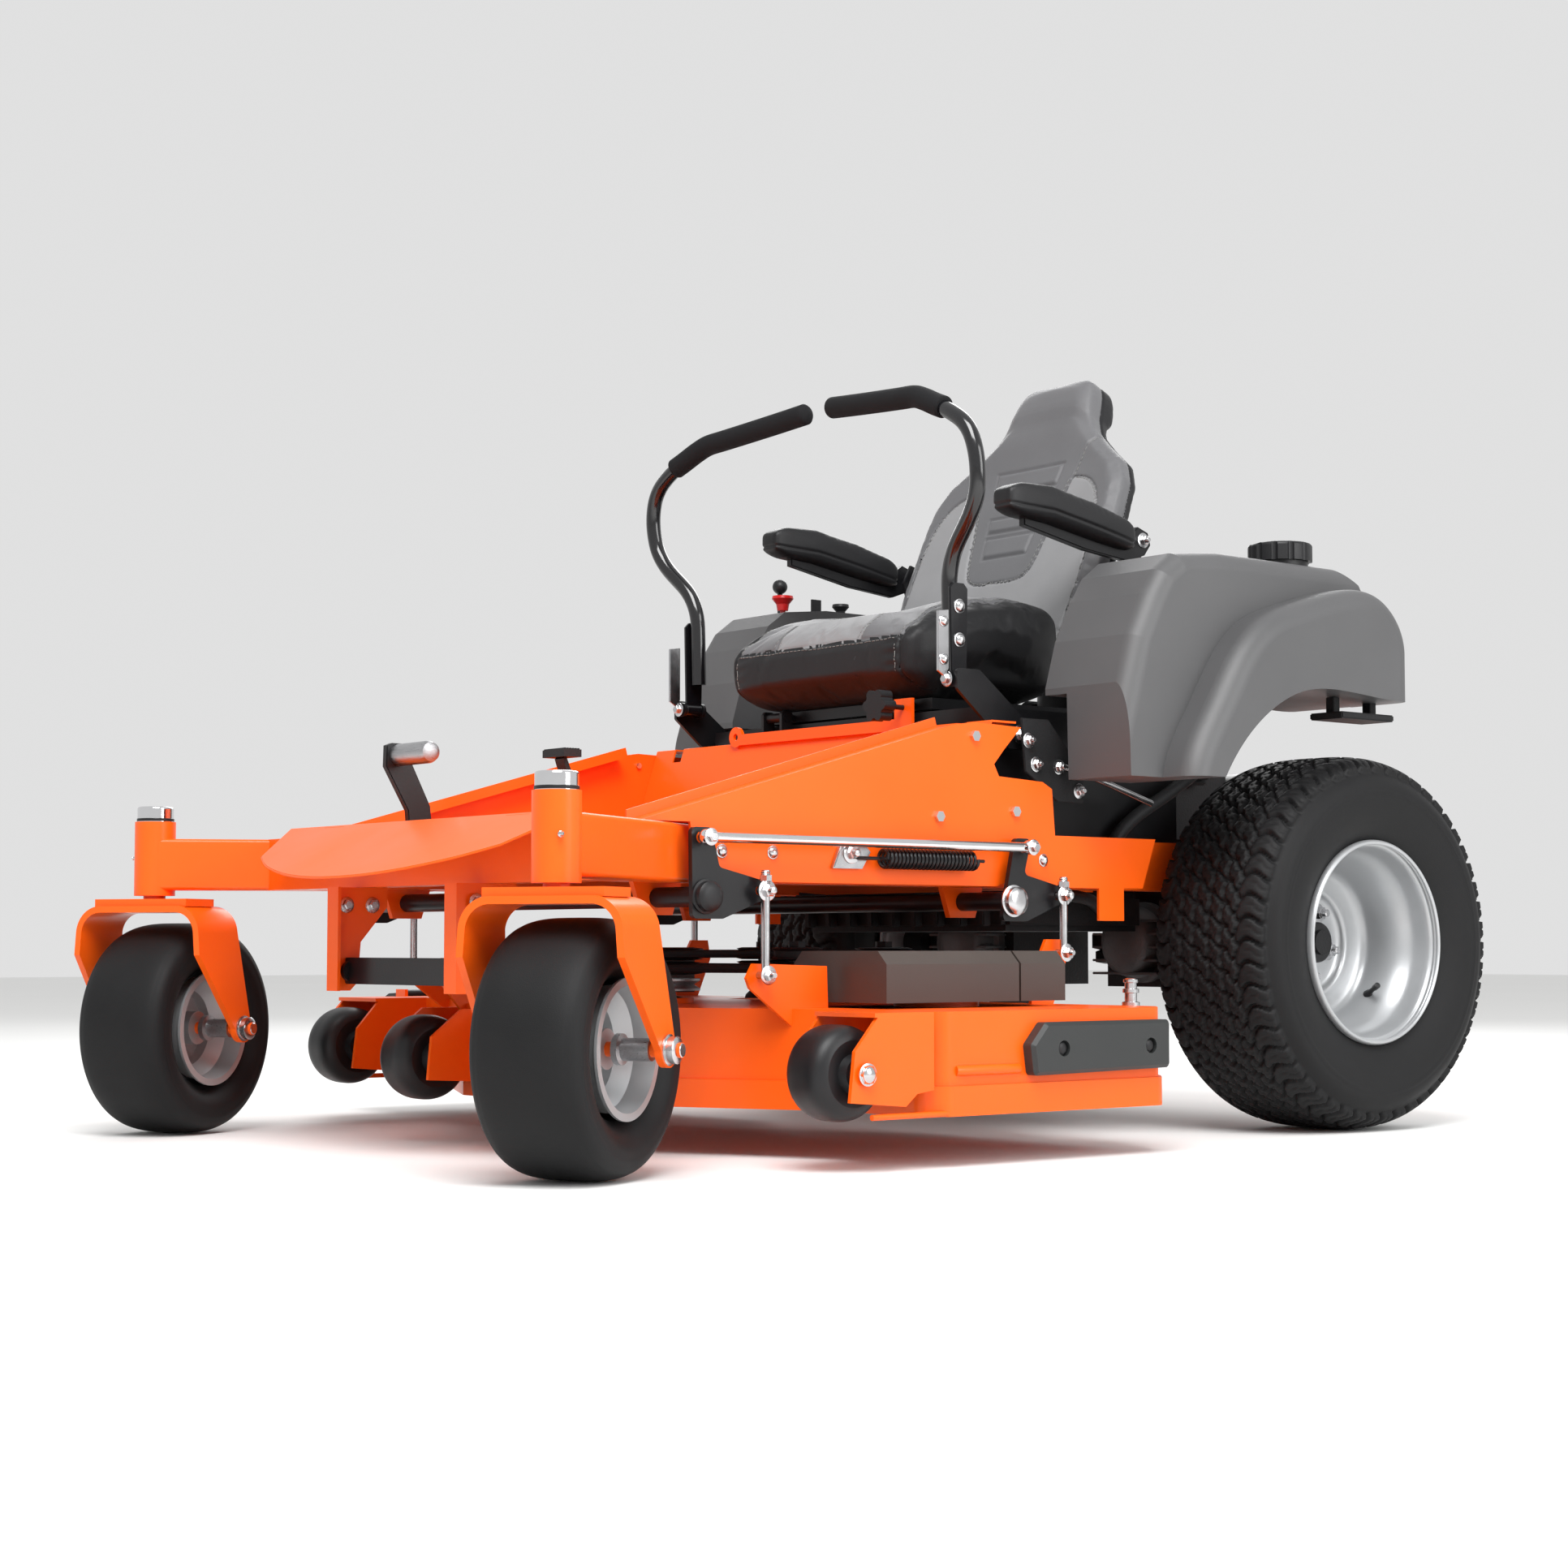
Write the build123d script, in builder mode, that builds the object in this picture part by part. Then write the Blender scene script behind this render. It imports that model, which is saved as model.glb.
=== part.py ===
# Zero turn mower with a 54-inch deck. Millimetres, +Z up, -Y is the front, +X the operator's left.
# Pieces are drawn about the rear axle (y = 0), the mid-plane (x = 0) and the ground (z = 0), then
# shifted so that the origin lies on the ground under the middle of the whole machine.
from build123d import *
import os
from math import atan2, cos, degrees, radians, sin, sqrt, tan

os.makedirs("parts", exist_ok=True)

# ---- driving dimensions ----
REAR_R, REAR_W, REAR_X = 300.0, 244.0, 506.0        # 24 x 9.5-12 drive tyre: radius, width, mid-plane
REAR_RIM_R = 163.0                                  # rim flange radius
FRONT_R, FRONT_W = 165.0, 165.0                     # 13 x 6.5-6 smooth caster tyre
FRONT_RIM_R = 92.0
KING_X, KING_Y = 554.6, -1542.2                     # caster kingpin
KING_BOTTOM, KING_TOP = 372.4, 488.0                # kingpin tube
KING_R, STEM_R, STEM_FIT = 31.5, 17.0, 17.06
TRAIL = 63.0                                        # kingpin to caster axle
CASTER_YAW = 28.1                                   # both casters stand turned by this much
RAIL_X, RAIL_W, RAIL_Z0, RAIL_Z1 = 330.0, 60.0, 383.0, 461.0
RAIL_Y0, RAIL_Y1 = -1290.0, 318.0
SIDE_X, SHEET = 425.0, 5.0                          # outer face and thickness of the body side panels
DECK_X, DECK_Z0, DECK_Z1, DECK_T = 690.0, 68.0, 207.0, 4.0
BLADE_R, CHAMBER_R = 228.0, 236.0
SPINDLE_X, SPINDLE_Y = 445.0, -800.0                # outer spindles
CENTRE_Y, SPINDLE_R = -980.0, 14.0                  # middle spindle stands forward
ROLLER_R, ROLLER_W = 63.5, 96.0
ROLLER_X, ROLLER_Y, ROLLER_Z = 630.0, -1151.0, 128.0
CRANK_X, CRANK_Z = 440.0, 361.0                     # lift cranks outside the side panels
CRANK_FRONT_Y, CRANK_REAR_Y = -1222.0, -643.0
CRANK_ARM, CRANK_RISE, SHAFT_R = 93.0, 80.0, 14.0
PEDAL_X, PEDAL_Y, PEDAL_Z = -200.0, -1272.0, 420.0
PIN_R, PIN_FIT = 8.0, 8.05                          # plain pivot pins and the holes that turn on them
TANK_X0, TANK_X1, FLARE_X1 = 390.0, 566.0, 632.0
SEAT_BACK_HALF, CUSHION_HALF = 246.0, 238.0
ARM_X, ARM_HALF = 292.0, 27.0
LEVER_X, LEVER_R, GRIP_R = 351.0, 12.5, 18.0
LEVER_PIVOT_Y, LEVER_PIVOT_Z = -545.0, 620.0
SWING_X, SWING_Y, SWING_Z = 338.0, -649.0, 700.0    # outward pivot of the control levers
ENGINE_Y = 90.0                                     # crankshaft of the vertical-shaft engine
CHUTE_REACH = 190.0                                 # the chute stands out on the right only
BUMPER_T = 20.0
FRONT_REACH, REAR_REACH = 1647.5, 372.0
SHIFT = Location(((CHUTE_REACH - BUMPER_T) / 2, (FRONT_REACH - REAR_REACH) / 2, 0))


def write(piece, name):
    """Shift a finished piece into the machine's own frame, label it and write its STEP file."""
    placed = piece.moved(SHIFT)
    placed.label = name
    export_step(placed, f"parts/{name}.step")


def mirrored(piece):
    return mirror(piece, about=Plane.YZ)


# ================= frame =================
with BuildPart() as frame_rails:
    for side in (-1, 1):
        with BuildSketch(Plane.XZ.offset(-RAIL_Y0)):
            with Locations((side * RAIL_X, (RAIL_Z0 + RAIL_Z1) / 2)):
                Rectangle(RAIL_W, RAIL_Z1 - RAIL_Z0)
                Rectangle(RAIL_W - 8, RAIL_Z1 - RAIL_Z0 - 8, mode=Mode.SUBTRACT)
        extrude(amount=-(RAIL_Y1 - RAIL_Y0))
        # bearing lugs that carry the two lift shafts
        for y in (CRANK_FRONT_Y, CRANK_REAR_Y):
            with BuildSketch(Plane.YZ.offset(side * (RAIL_X - 5))):
                with BuildLine():
                    Polyline((y - 42, RAIL_Z0), (y - 26, CRANK_Z - 24), (y + 26, CRANK_Z - 24),
                             (y + 42, RAIL_Z0), close=True)
                make_face()
                with Locations((y, CRANK_Z)):
                    Circle(SHAFT_R + 0.06, mode=Mode.SUBTRACT)
            extrude(amount=side * 10)
    # pin for the lift pedal
    with BuildSketch(Plane.YZ.offset(-RAIL_X + RAIL_W / 2 - 3)):
        with Locations((PEDAL_Y, PEDAL_Z)):
            Circle(PIN_R)
    extrude(amount=RAIL_X - RAIL_W / 2 + PEDAL_X + 11)
write(frame_rails.part, "frame_rails")

# front axle: splayed arms with kingpin tubes, a cross tube and two hanger brackets
ARM_ANGLE = 30.0                                    # splay of the arms from straight ahead
ARM_Z0, ARM_Z1, ARM_W = 381.0, 461.0, 60.0
ARM_LENGTH = (KING_X - (RAIL_X + RAIL_W / 2)) / sin(radians(ARM_ANGLE))
HANGER_X, HANGER_Y, HANGER_Z0 = 177.0, -1449.0, 228.0
CROSS_Y0, CROSS_Y1 = -1404.0, -1350.0
LINK_Y, LINK_Z = -1415.0, 257.0


def axle_arm():
    with BuildPart() as arm:
        across = (cos(radians(ARM_ANGLE)), sin(radians(ARM_ANGLE)), 0)
        along = (-sin(radians(ARM_ANGLE)), cos(radians(ARM_ANGLE)), 0)
        plane = Plane((KING_X, KING_Y, (ARM_Z0 + ARM_Z1) / 2), x_dir=across, z_dir=along)
        with BuildSketch(plane):
            RectangleRounded(ARM_W, ARM_Z1 - ARM_Z0, 6)
            RectangleRounded(ARM_W - 10, ARM_Z1 - ARM_Z0 - 10, 3, mode=Mode.SUBTRACT)
        extrude(amount=ARM_LENGTH + 60)
        with Locations((RAIL_X + RAIL_W / 2 - 100, -1200, 420)):
            Box(200, 400, 100, mode=Mode.SUBTRACT)
        with BuildSketch(Plane.XY.offset(KING_BOTTOM)):
            with Locations((KING_X, KING_Y)):
                Circle(KING_R)
        extrude(amount=KING_TOP - KING_BOTTOM)
        with BuildSketch(Plane.XY.offset(KING_BOTTOM)):
            with Locations((KING_X, KING_Y)):
                Circle(STEM_FIT)
        extrude(amount=KING_TOP - KING_BOTTOM, mode=Mode.SUBTRACT)
    return arm.part


def link_bracket():
    """Channel under the cross tube that carries the front end of one deck link."""
    with BuildPart() as bracket:
        with BuildSketch(Plane.YZ.offset(HANGER_X - 5)):
            with BuildLine():
                Polyline((HANGER_Y, HANGER_Z0), (HANGER_Y, ARM_Z0), (CROSS_Y1, ARM_Z0), (CROSS_Y1, 352),
                         (-1395, 300), (-1400, 240), (-1412, HANGER_Z0), close=True)
            make_face()
        extrude(amount=5)
        with Locations((HANGER_X - 15.5, HANGER_Y + 2.5, (HANGER_Z0 + ARM_Z0) / 2)):
            Box(31, 5, ARM_Z0 - HANGER_Z0)
        with BuildSketch(Plane.YZ.offset(HANGER_X - 6)):
            with Locations((LINK_Y, LINK_Z)):
                Circle(6.05)
        extrude(amount=8, mode=Mode.SUBTRACT)
    return bracket.part


with BuildPart() as front_axle:
    arm = axle_arm()
    add(arm)
    mirror(arm, about=Plane.YZ)
    with BuildSketch(Plane.YZ):
        with Locations(((CROSS_Y0 + CROSS_Y1) / 2, (ARM_Z0 + ARM_Z1) / 2)):
            Rectangle(CROSS_Y1 - CROSS_Y0, ARM_Z1 - ARM_Z0)
            Rectangle(CROSS_Y1 - CROSS_Y0 - 8, ARM_Z1 - ARM_Z0 - 8, mode=Mode.SUBTRACT)
    extrude(amount=445, both=True)
    bracket = link_bracket()
    add(bracket)
    mirror(bracket, about=Plane.YZ)
write(front_axle.part, "front_axle")

# rear guard: cross channel behind the rails, two posts, a bumper bar and the hitch tongue
GUARD_Y = 330.0
HITCH_Y, HITCH_Z, HITCH_R = 345.0, 350.0, 8.0
with BuildPart() as rear_guard:
    with Locations((0, RAIL_Y1 + 3, (RAIL_Z0 + RAIL_Z1) / 2)):
        Box(2 * RAIL_X + RAIL_W, 6, RAIL_Z1 - RAIL_Z0)
    for side in (-1, 1):
        with BuildSketch(Plane.YZ.offset(side * 300 - 3)):
            with BuildLine():
                FilletPolyline((RAIL_Y1 + 6, 383), (RAIL_Y1 + 6, 560), (348, 590), (REAR_REACH, 590),
                               (REAR_REACH, 383), radius=10, close=True)
            make_face()
        extrude(amount=6)
    with BuildSketch(Plane.YZ.offset(-300)):
        with Locations((350, 545)):
            RectangleRounded(40, 60, 6)
            RectangleRounded(32, 52, 3, mode=Mode.SUBTRACT)
    extrude(amount=600)
    with Locations((0, (RAIL_Y1 + 6 + 370) / 2, HITCH_Z + 30)):
        Box(120, 370 - RAIL_Y1 - 6, 6)
    with Locations((0, RAIL_Y1 + 9, HITCH_Z + 50)):
        Box(120, 6, 40)
    with BuildSketch(Plane.XY.offset(HITCH_Z + 20)):
        with Locations((0, HITCH_Y + 4)):
            Circle(HITCH_R)
    extrude(amount=20, mode=Mode.SUBTRACT)
write(rear_guard.part, "rear_guard")

# nose plate: a flat sheet between the arms, high at the back and low at the bowed front edge
NOSE_T, NOSE_TILT = 4.0, radians(29)
NOSE_Y, NOSE_Z = -1392.0, 473.0
with BuildPart() as nose_plate:
    with BuildSketch(Plane((0, NOSE_Y, NOSE_Z), x_dir=(1, 0, 0), z_dir=(0, -sin(NOSE_TILT), cos(NOSE_TILT)))):
        with BuildLine():
            Polyline((330, -98), (393, 0), (-393, 0), (-330, -98))
            ThreePointArc((-330, -98), (0, -176), (330, -98))
        make_face()
    extrude(amount=NOSE_T)
    for x in (-250, 250):
        with Locations((x, NOSE_Y - 5, (ARM_Z1 + 470) / 2)):
            Box(60, 10, 470 - ARM_Z1)
write(nose_plate.part, "nose_plate")

KNOB_X, KNOB_Y, KNOB_Z = 231.0, -707.2, 664.0
BRAKE_X, BRAKE_Y, BRAKE_Z = -198.0, -1008.0, 480.0
# foot pan: floor, front lip, sloping riser and the shelf under the seat
PAN_HALF, RISER_HALF = 386.0, SIDE_X - SHEET - 1
with BuildPart() as foot_pan:
    for half, bend in ((PAN_HALF, [(-1346, 463), (-716, 463), (-704, 500)]),
                       (RISER_HALF, [(-706, 494), (-660, 630), (-610, 630)])):
        with BuildSketch(Plane.YZ):
            with BuildLine():
                Polyline(*bend)
                offset(amount=3, side=Side.LEFT)
            make_face()
        extrude(amount=half, both=True)
    # slot for the lift pedal
    with Locations((PEDAL_X, PEDAL_Y - 2, 464)):
        Box(26, 92, 20, mode=Mode.SUBTRACT)
    # slots that the lever arms pass through, open to the back of the shelf
    for side in (-1, 1):
        with Locations((side * (LEVER_X + 3), -648, 648)):
            Box(24, 96, 76, mode=Mode.SUBTRACT)
    # latch bar with its round pivot, on top of the riser
    with Locations((20, -665, 638)):
        Box(400, 12, 18)
    with BuildSketch(Plane.XZ.offset(671)):
        with Locations((-188, 643)):
            Circle(17)
            Circle(6, mode=Mode.SUBTRACT)
        with Locations((KNOB_X, KNOB_Z - 10)):
            Rectangle(40, 48)
        with Locations((KNOB_X, KNOB_Z)):
            Circle(4.05, mode=Mode.SUBTRACT)
    extrude(amount=-6)
    # bracket and pin of the small pedal
    for x in (BRAKE_X - 20, BRAKE_X + 15):
        with Locations((x + 2.5, BRAKE_Y, BRAKE_Z - 5)):
            Box(5, 24, 20)
    with BuildSketch(Plane.YZ.offset(BRAKE_X - 20)):
        with Locations((BRAKE_Y, BRAKE_Z)):
            Circle(4)
    extrude(amount=40)
write(foot_pan.part, "foot_pan")


# body side panels: a plate with a rolled top flange and a stepped rear edge
def side_panel():
    with BuildPart() as panel:
        with BuildSketch(Plane.YZ.offset(SIDE_X - SHEET)):
            with BuildLine():
                Polyline((-1317, 463), (-745, 621), (-703, 627), (-605, 624), (-640, 590), (-662, 566),
                         (-652, 548), (-560, 543), (-540, 533), (-534, 462), (-310, 462), (-340, 384),
                         (-383, 384), (-383, 333), (-438, 333), (-438, 383), (-1222, 383), (-1234, 463),
                         close=True)
            make_face()
        extrude(amount=SHEET)
        for y, z in ((-703, 606), (-776, 484), (-620, 496)):
            with BuildSketch(Plane.YZ.offset(SIDE_X - SHEET - 1)):
                with Locations((y, z)):
                    Circle(5)
            extrude(amount=SHEET + 2, mode=Mode.SUBTRACT)
        for y in (CRANK_FRONT_Y, CRANK_REAR_Y):
            with BuildSketch(Plane.YZ.offset(SIDE_X - SHEET - 1)):
                with Locations((y, CRANK_Z)):
                    Circle(26)
            extrude(amount=SHEET + 2, mode=Mode.SUBTRACT)
        # rolled flange along the sloping top edge, turned inward with a small lip
        slope = atan2(621 - 463, 1317 - 745)
        flange_plane = Plane((SIDE_X, -1317, 463), x_dir=(1, 0, 0), z_dir=(0, cos(slope), sin(slope)))
        with BuildSketch(flange_plane):
            with BuildLine():
                Polyline((0, 0), (0, 3), (-36, 3), (-36, -14), (-33, -14), (-33, 0), close=True)
            make_face()
        extrude(amount=590)
        with Locations((SIDE_X - 18, -1317 - 10, 463)):
            Box(60, 20, 60, mode=Mode.SUBTRACT)
        with Locations((SIDE_X - 18, -1290, 446)):
            Box(60, 90, 33, mode=Mode.SUBTRACT)
    return panel.part


panel_left = side_panel()
write(panel_left, "side_panel_left")
write(mirrored(panel_left), "side_panel_right")

# seat platform: folded box that carries the seat and closes the space over the rails
PLATFORM_HALF, PLATFORM_Y0, PLATFORM_Y1, PLATFORM_TOP = 334.0, -600.0, -160.0, 663.0
HINGE_X, HINGE_Y, HINGE_Z = 150.0, -612.0, 676.0    # seat tips forward on two knuckles
with BuildPart() as seat_platform:
    length, middle = PLATFORM_Y1 - PLATFORM_Y0, (PLATFORM_Y0 + PLATFORM_Y1) / 2
    with Locations((0, middle, PLATFORM_TOP - 2)):
        Box(2 * PLATFORM_HALF, length, 4)
    for y in (PLATFORM_Y0 + 2, PLATFORM_Y1 - 2):
        with Locations((0, y, PLATFORM_TOP - 15)):
            Box(2 * PLATFORM_HALF, 4, 30)
    for side in (-1, 1):
        with Locations((side * (PLATFORM_HALF - 3), middle, (RAIL_Z1 + PLATFORM_TOP) / 2)):
            Box(6, length, PLATFORM_TOP - RAIL_Z1)
        # cross pin that each lever turns on
        with BuildSketch(Plane.YZ.offset(side * (PLATFORM_HALF - 4))):
            with Locations((LEVER_PIVOT_Y, LEVER_PIVOT_Z)):
                Circle(PIN_R)
        extrude(amount=side * 36)
        with BuildSketch(Plane.YZ.offset(side * (PLATFORM_HALF - 4))):
            with Locations((LEVER_PIVOT_Y, LEVER_PIVOT_Z)):
                Circle(14)
        extrude(amount=side * 12)
        # seat hinge lugs
        for x in (HINGE_X - 27, HINGE_X + 21):
            with BuildSketch(Plane.YZ.offset(side * x)):
                with BuildLine():
                    Polyline((-598, 636), (-598, 662), (-600.5, 664), (-600.5, 682), (-605, 687), (-619, 687),
                             (-624, 682), (-624, 652), close=True)
                make_face()
                with Locations((HINGE_Y, HINGE_Z)):
                    Circle(PIN_FIT, mode=Mode.SUBTRACT)
            extrude(amount=side * 6)
write(seat_platform.part, "seat_platform")


# fuel tanks and fenders: hollow moulded bodies with a flared wheel arch
TANK_WALL, TANK_NOTCH_X, TANK_NOTCH_Z = 8.0, 436.0, 680.0


def tank():
    profile = [(-515, 548), (-518, 690), (-496, 764), (-462, 829), (-436, 868), (-398, 896), (-300, 906),
               (-20, 906), (26, 880), (64, 822), (76, 760), (74, 688)]
    arch = [(74, 688), (-20, 690), (-110, 696), (-190, 690), (-256, 664), (-322, 616), (-366, 566),
            (-378, 548)]
    with BuildPart() as body:
        with BuildSketch(Plane.YZ.offset(TANK_X0)):
            with BuildLine():
                Polyline(*profile)
                Spline(*arch)
                Line(arch[-1], profile[0])
            make_face()
        extrude(amount=TANK_X1 - TANK_X0)
        outer = body.faces().sort_by(Axis.X)[-1].outer_wire().edges()
        fillet(outer.filter_by(lambda e: e.center().Z > 700 and e.center().Y < 0), 30)
        # the inboard side stops higher, over the lever mechanism
        with BuildSketch(Plane.XZ.offset(600)):
            with Locations(((TANK_X0 + TANK_NOTCH_X) / 2, TANK_NOTCH_Z - 100)):
                Rectangle(TANK_NOTCH_X - TANK_X0, 200)
        extrude(amount=-700, mode=Mode.SUBTRACT)
        flare = [(-446, 548), (-440, 571), (-386, 664), (-327, 750), (-277, 795), (-175, 834), (-60, 862),
                 (10, 858), (56, 826), (80, 760), (80, 688)]
        with BuildSketch(Plane.YZ.offset(TANK_X1 - 60)):
            with BuildLine():
                Spline(*flare[:10])
                Line(*flare[9:])
                Line(flare[-1], arch[0])
                Spline(*arch)
                Line(arch[-1], flare[0])
            make_face()
        extrude(amount=FLARE_X1 - TANK_X1 + 60)
        rim_edge = body.faces().sort_by(Axis.X)[-1].outer_wire().edges().sort_by(SortBy.LENGTH)
        fillet(rim_edge[-1], 34)
        # closed fuel space
        with BuildSketch(Plane.YZ.offset(TANK_NOTCH_X + TANK_WALL)):
            with BuildLine():
                Polyline((-505, 562), (-507, 690), (-486, 760), (-430, 854), (-395, 884), (-300, 894),
                         (-26, 896), (16, 868), (50, 814), (60, 760), (60, 706), (-110, 712), (-198, 706),
                         (-268, 680), (-338, 628), (-392, 562), close=True)
            make_face()
        extrude(amount=TANK_X1 - TANK_NOTCH_X - 34 - TANK_WALL, mode=Mode.SUBTRACT)
        with BuildSketch(Plane.YZ.offset(TANK_X0 + TANK_WALL)):
            with BuildLine():
                Polyline((-503, 696), (-486, 760), (-430, 854), (-395, 884), (-300, 894), (-26, 896),
                         (16, 868), (50, 814), (60, 760), (60, 714), (-110, 718), (-190, 714), (-230, 696),
                         close=True)
            make_face()
        extrude(amount=TANK_NOTCH_X - TANK_X0, mode=Mode.SUBTRACT)
    return body.part


TANK = tank()
CAP_X, CAP_Y, CAP_Z = 478.0, -64.0, 906.0
CONSOLE_X, PTO_Y, KEY_Y, CHOKE_Y = -452.0, -352.0, -272.0, -212.0
THROTTLE_X, THROTTLE_Y, THROTTLE_PIVOT_Z = -516.0, -306.0, 893.0
with BuildPart() as fuel_tank_left:
    add(TANK)
    with BuildSketch(Plane.XY.offset(CAP_Z - 4)):
        with Locations((CAP_X, CAP_Y)):
            Circle(36)
            Circle(30, mode=Mode.SUBTRACT)
    extrude(amount=16)
write(fuel_tank_left.part, "fuel_tank_left")

with BuildPart() as fuel_tank_right:
    add(mirrored(TANK))
    # control panel recess with its push and pull holes
    for x, y, radius in ((CONSOLE_X, PTO_Y, 5.0), (CONSOLE_X, KEY_Y, 5.0), (CONSOLE_X, CHOKE_Y, 3.0)):
        with BuildSketch(Plane.XY.offset(880)):
            with Locations((x, y)):
                Circle(radius + 0.06)
        extrude(amount=40, mode=Mode.SUBTRACT)
    with Locations((THROTTLE_X, THROTTLE_Y, 900)):
        Box(12, 80, 36, mode=Mode.SUBTRACT)
    with BuildSketch(Plane.YZ.offset(THROTTLE_X - 8)):
        with Locations((THROTTLE_Y, THROTTLE_PIVOT_Z)):
            Circle(2.5)
    extrude(amount=16)
write(fuel_tank_right.part, "fuel_tank_right")

with BuildPart() as fuel_cap:
    with BuildSketch(Plane.XY.offset(CAP_Z + 12.4)):
        with Locations((CAP_X, CAP_Y)):
            Circle(52)
    extrude(amount=30)
    fillet(fuel_cap.faces().sort_by(Axis.Z)[-1].edges(), 6)
    for turn in range(12):
        angle = radians(30 * turn)
        with Locations((CAP_X + 54 * cos(angle), CAP_Y + 54 * sin(angle), CAP_Z + 30)):
            Cylinder(6, 60, mode=Mode.SUBTRACT)
    with BuildSketch(Plane.XY.offset(CAP_Z + 1)):
        with Locations((CAP_X, CAP_Y)):
            Circle(45)
            Circle(36.3, mode=Mode.SUBTRACT)
    extrude(amount=14)
write(fuel_cap.part, "fuel_cap")

# ================= engine, drive and exhaust =================
ENGINE_Z0, ENGINE_Z1 = 466.0, 720.0
with BuildPart() as engine_block:
    with Locations((0, ENGINE_Y, ENGINE_Z0 + 80)):
        Box(260, 250, 160)
    fillet(engine_block.edges().filter_by(Axis.Z), 30)
    with Locations((0, ENGINE_Y, ENGINE_Z0 + 4)):
        Box(2 * (RAIL_X - RAIL_W / 2) - 2, 300, 8)
    for side in (-1, 1):
        tilt = 45 * side
        plane = Plane((side * 70, ENGINE_Y - 40, ENGINE_Z0 + 110), x_dir=(0, 1, 0),
                      z_dir=(sin(radians(tilt)), 0, cos(radians(tilt))))
        for fin in range(9):
            with BuildSketch(plane.offset(60 + fin * 13)):
                RectangleRounded(150, 120, 18)
            extrude(amount=6)
        with BuildSketch(plane.offset(20)):
            RectangleRounded(120, 92, 14)
        extrude(amount=170)
    with BuildSketch(Plane.XY.offset(ENGINE_Z1 - 20)):
        with Locations((0, ENGINE_Y)):
            Circle(170)
    extrude(amount=200, mode=Mode.SUBTRACT)
    with BuildSketch(Plane.XY.offset(RAIL_Z0 - 30)):
        with Locations((0, ENGINE_Y)):
            Circle(14)
    extrude(amount=120)
    with BuildSketch(Plane.XY.offset(RAIL_Z0 - 20)):
        with Locations((0, ENGINE_Y)):
            Circle(70)
    extrude(amount=40)
write(engine_block.part, "engine_block")

with BuildPart() as engine_shroud:
    with BuildSketch(Plane.XY.offset(ENGINE_Z1 - 20)):
        with Locations((0, ENGINE_Y)):
            Circle(168)
    extrude(amount=120)
    fillet(engine_shroud.faces().sort_by(Axis.Z)[-1].edges(), 36)
    with BuildSketch(Plane.XY.offset(ENGINE_Z1 + 60)):
        with Locations((0, ENGINE_Y)):
            Circle(112)
    extrude(amount=60, mode=Mode.SUBTRACT)
    for ring in range(4):
        with BuildSketch(Plane.XY.offset(ENGINE_Z1 + 60)):
            with Locations((0, ENGINE_Y)):
                Circle(106 - ring * 26)
                Circle(94 - ring * 26, mode=Mode.SUBTRACT)
        extrude(amount=30)
    with Locations((0, ENGINE_Y - 10, ENGINE_Z1 + 75)):
        Box(220, 10, 30)
        Box(10, 216, 30)
write(engine_shroud.part, "engine_shroud")

with BuildPart() as muffler:
    with BuildSketch(Plane.YZ.offset(-170)):
        with Locations((270, 560)):
            Circle(46)
    extrude(amount=340)
    fillet(muffler.edges().filter_by(GeomType.CIRCLE), 12)
    with BuildSketch(Plane.YZ.offset(165)):
        with Locations((270, 560)):
            Circle(17)
            Circle(14, mode=Mode.SUBTRACT)
    extrude(amount=60)
write(muffler.part, "muffler")

# hydrostatic transaxles: two castings, each with an axle horn that ends at its wheel hub
AXLE_R = 20.0
with BuildPart() as transaxles:
    for side in (-1, 1):
        with Locations((side * 190, 0, REAR_R)):
            Box(150, 190, 150)
        with BuildSketch(Plane.YZ.offset(side * 265)):
            with Locations((0, REAR_R)):
                Circle(52)
        extrude(amount=side * 90)
        with BuildSketch(Plane.YZ.offset(side * 340)):
            with Locations((0, REAR_R)):
                Circle(AXLE_R)
        extrude(amount=side * (REAR_X - 340))
        with Locations((side * 190, -40, REAR_R + 78)):
            Cylinder(46, 30)
write(transaxles.part, "transaxles")

# bright hardware: kingpin dust caps and zinc bolts
with BuildPart() as bright_hardware:
    for side in (-1, 1):
        with BuildSketch(Plane.XY.offset(KING_TOP)):
            with Locations((side * KING_X, KING_Y)):
                Circle(28)
        extrude(amount=24)
    fillet(bright_hardware.faces().group_by(Axis.Z)[-1].edges(), 4)
    for side in (-1, 1):
        for y, z in ((-703, 606), (-776, 484), (-620, 496)):
            with BuildSketch(Plane.YZ.offset(side * SIDE_X)):
                with Locations((y, z)):
                    RegularPolygon(8.5, 6)
            extrude(amount=side * 6)
            with BuildSketch(Plane.YZ.offset(side * (SIDE_X - SHEET - 4))):
                with Locations((y, z)):
                    Circle(4.9)
            extrude(amount=side * (SHEET + 4))
write(bright_hardware.part, "bright_hardware")

# ================= casters =================
WHEEL_FWD = Vector(sin(radians(CASTER_YAW)), -cos(radians(CASTER_YAW)), 0)
WHEEL_OUT = Vector(cos(radians(CASTER_YAW)), sin(radians(CASTER_YAW)), 0)
FORK_IN, FORK_T = 104.0, 10.0                       # inside half-width and plate thickness
CROWN_Z = 346.0
CASTER_AXLE_R = 9.5


def caster_frame(side):
    """Plane at the wheel centre: x along the axle, y straight back, z up."""
    king = Vector(side * KING_X, KING_Y, 0)
    centre = king - WHEEL_FWD * TRAIL
    return Plane((centre.X, centre.Y, FRONT_R), x_dir=WHEEL_OUT, z_dir=(0, 0, 1))


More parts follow.
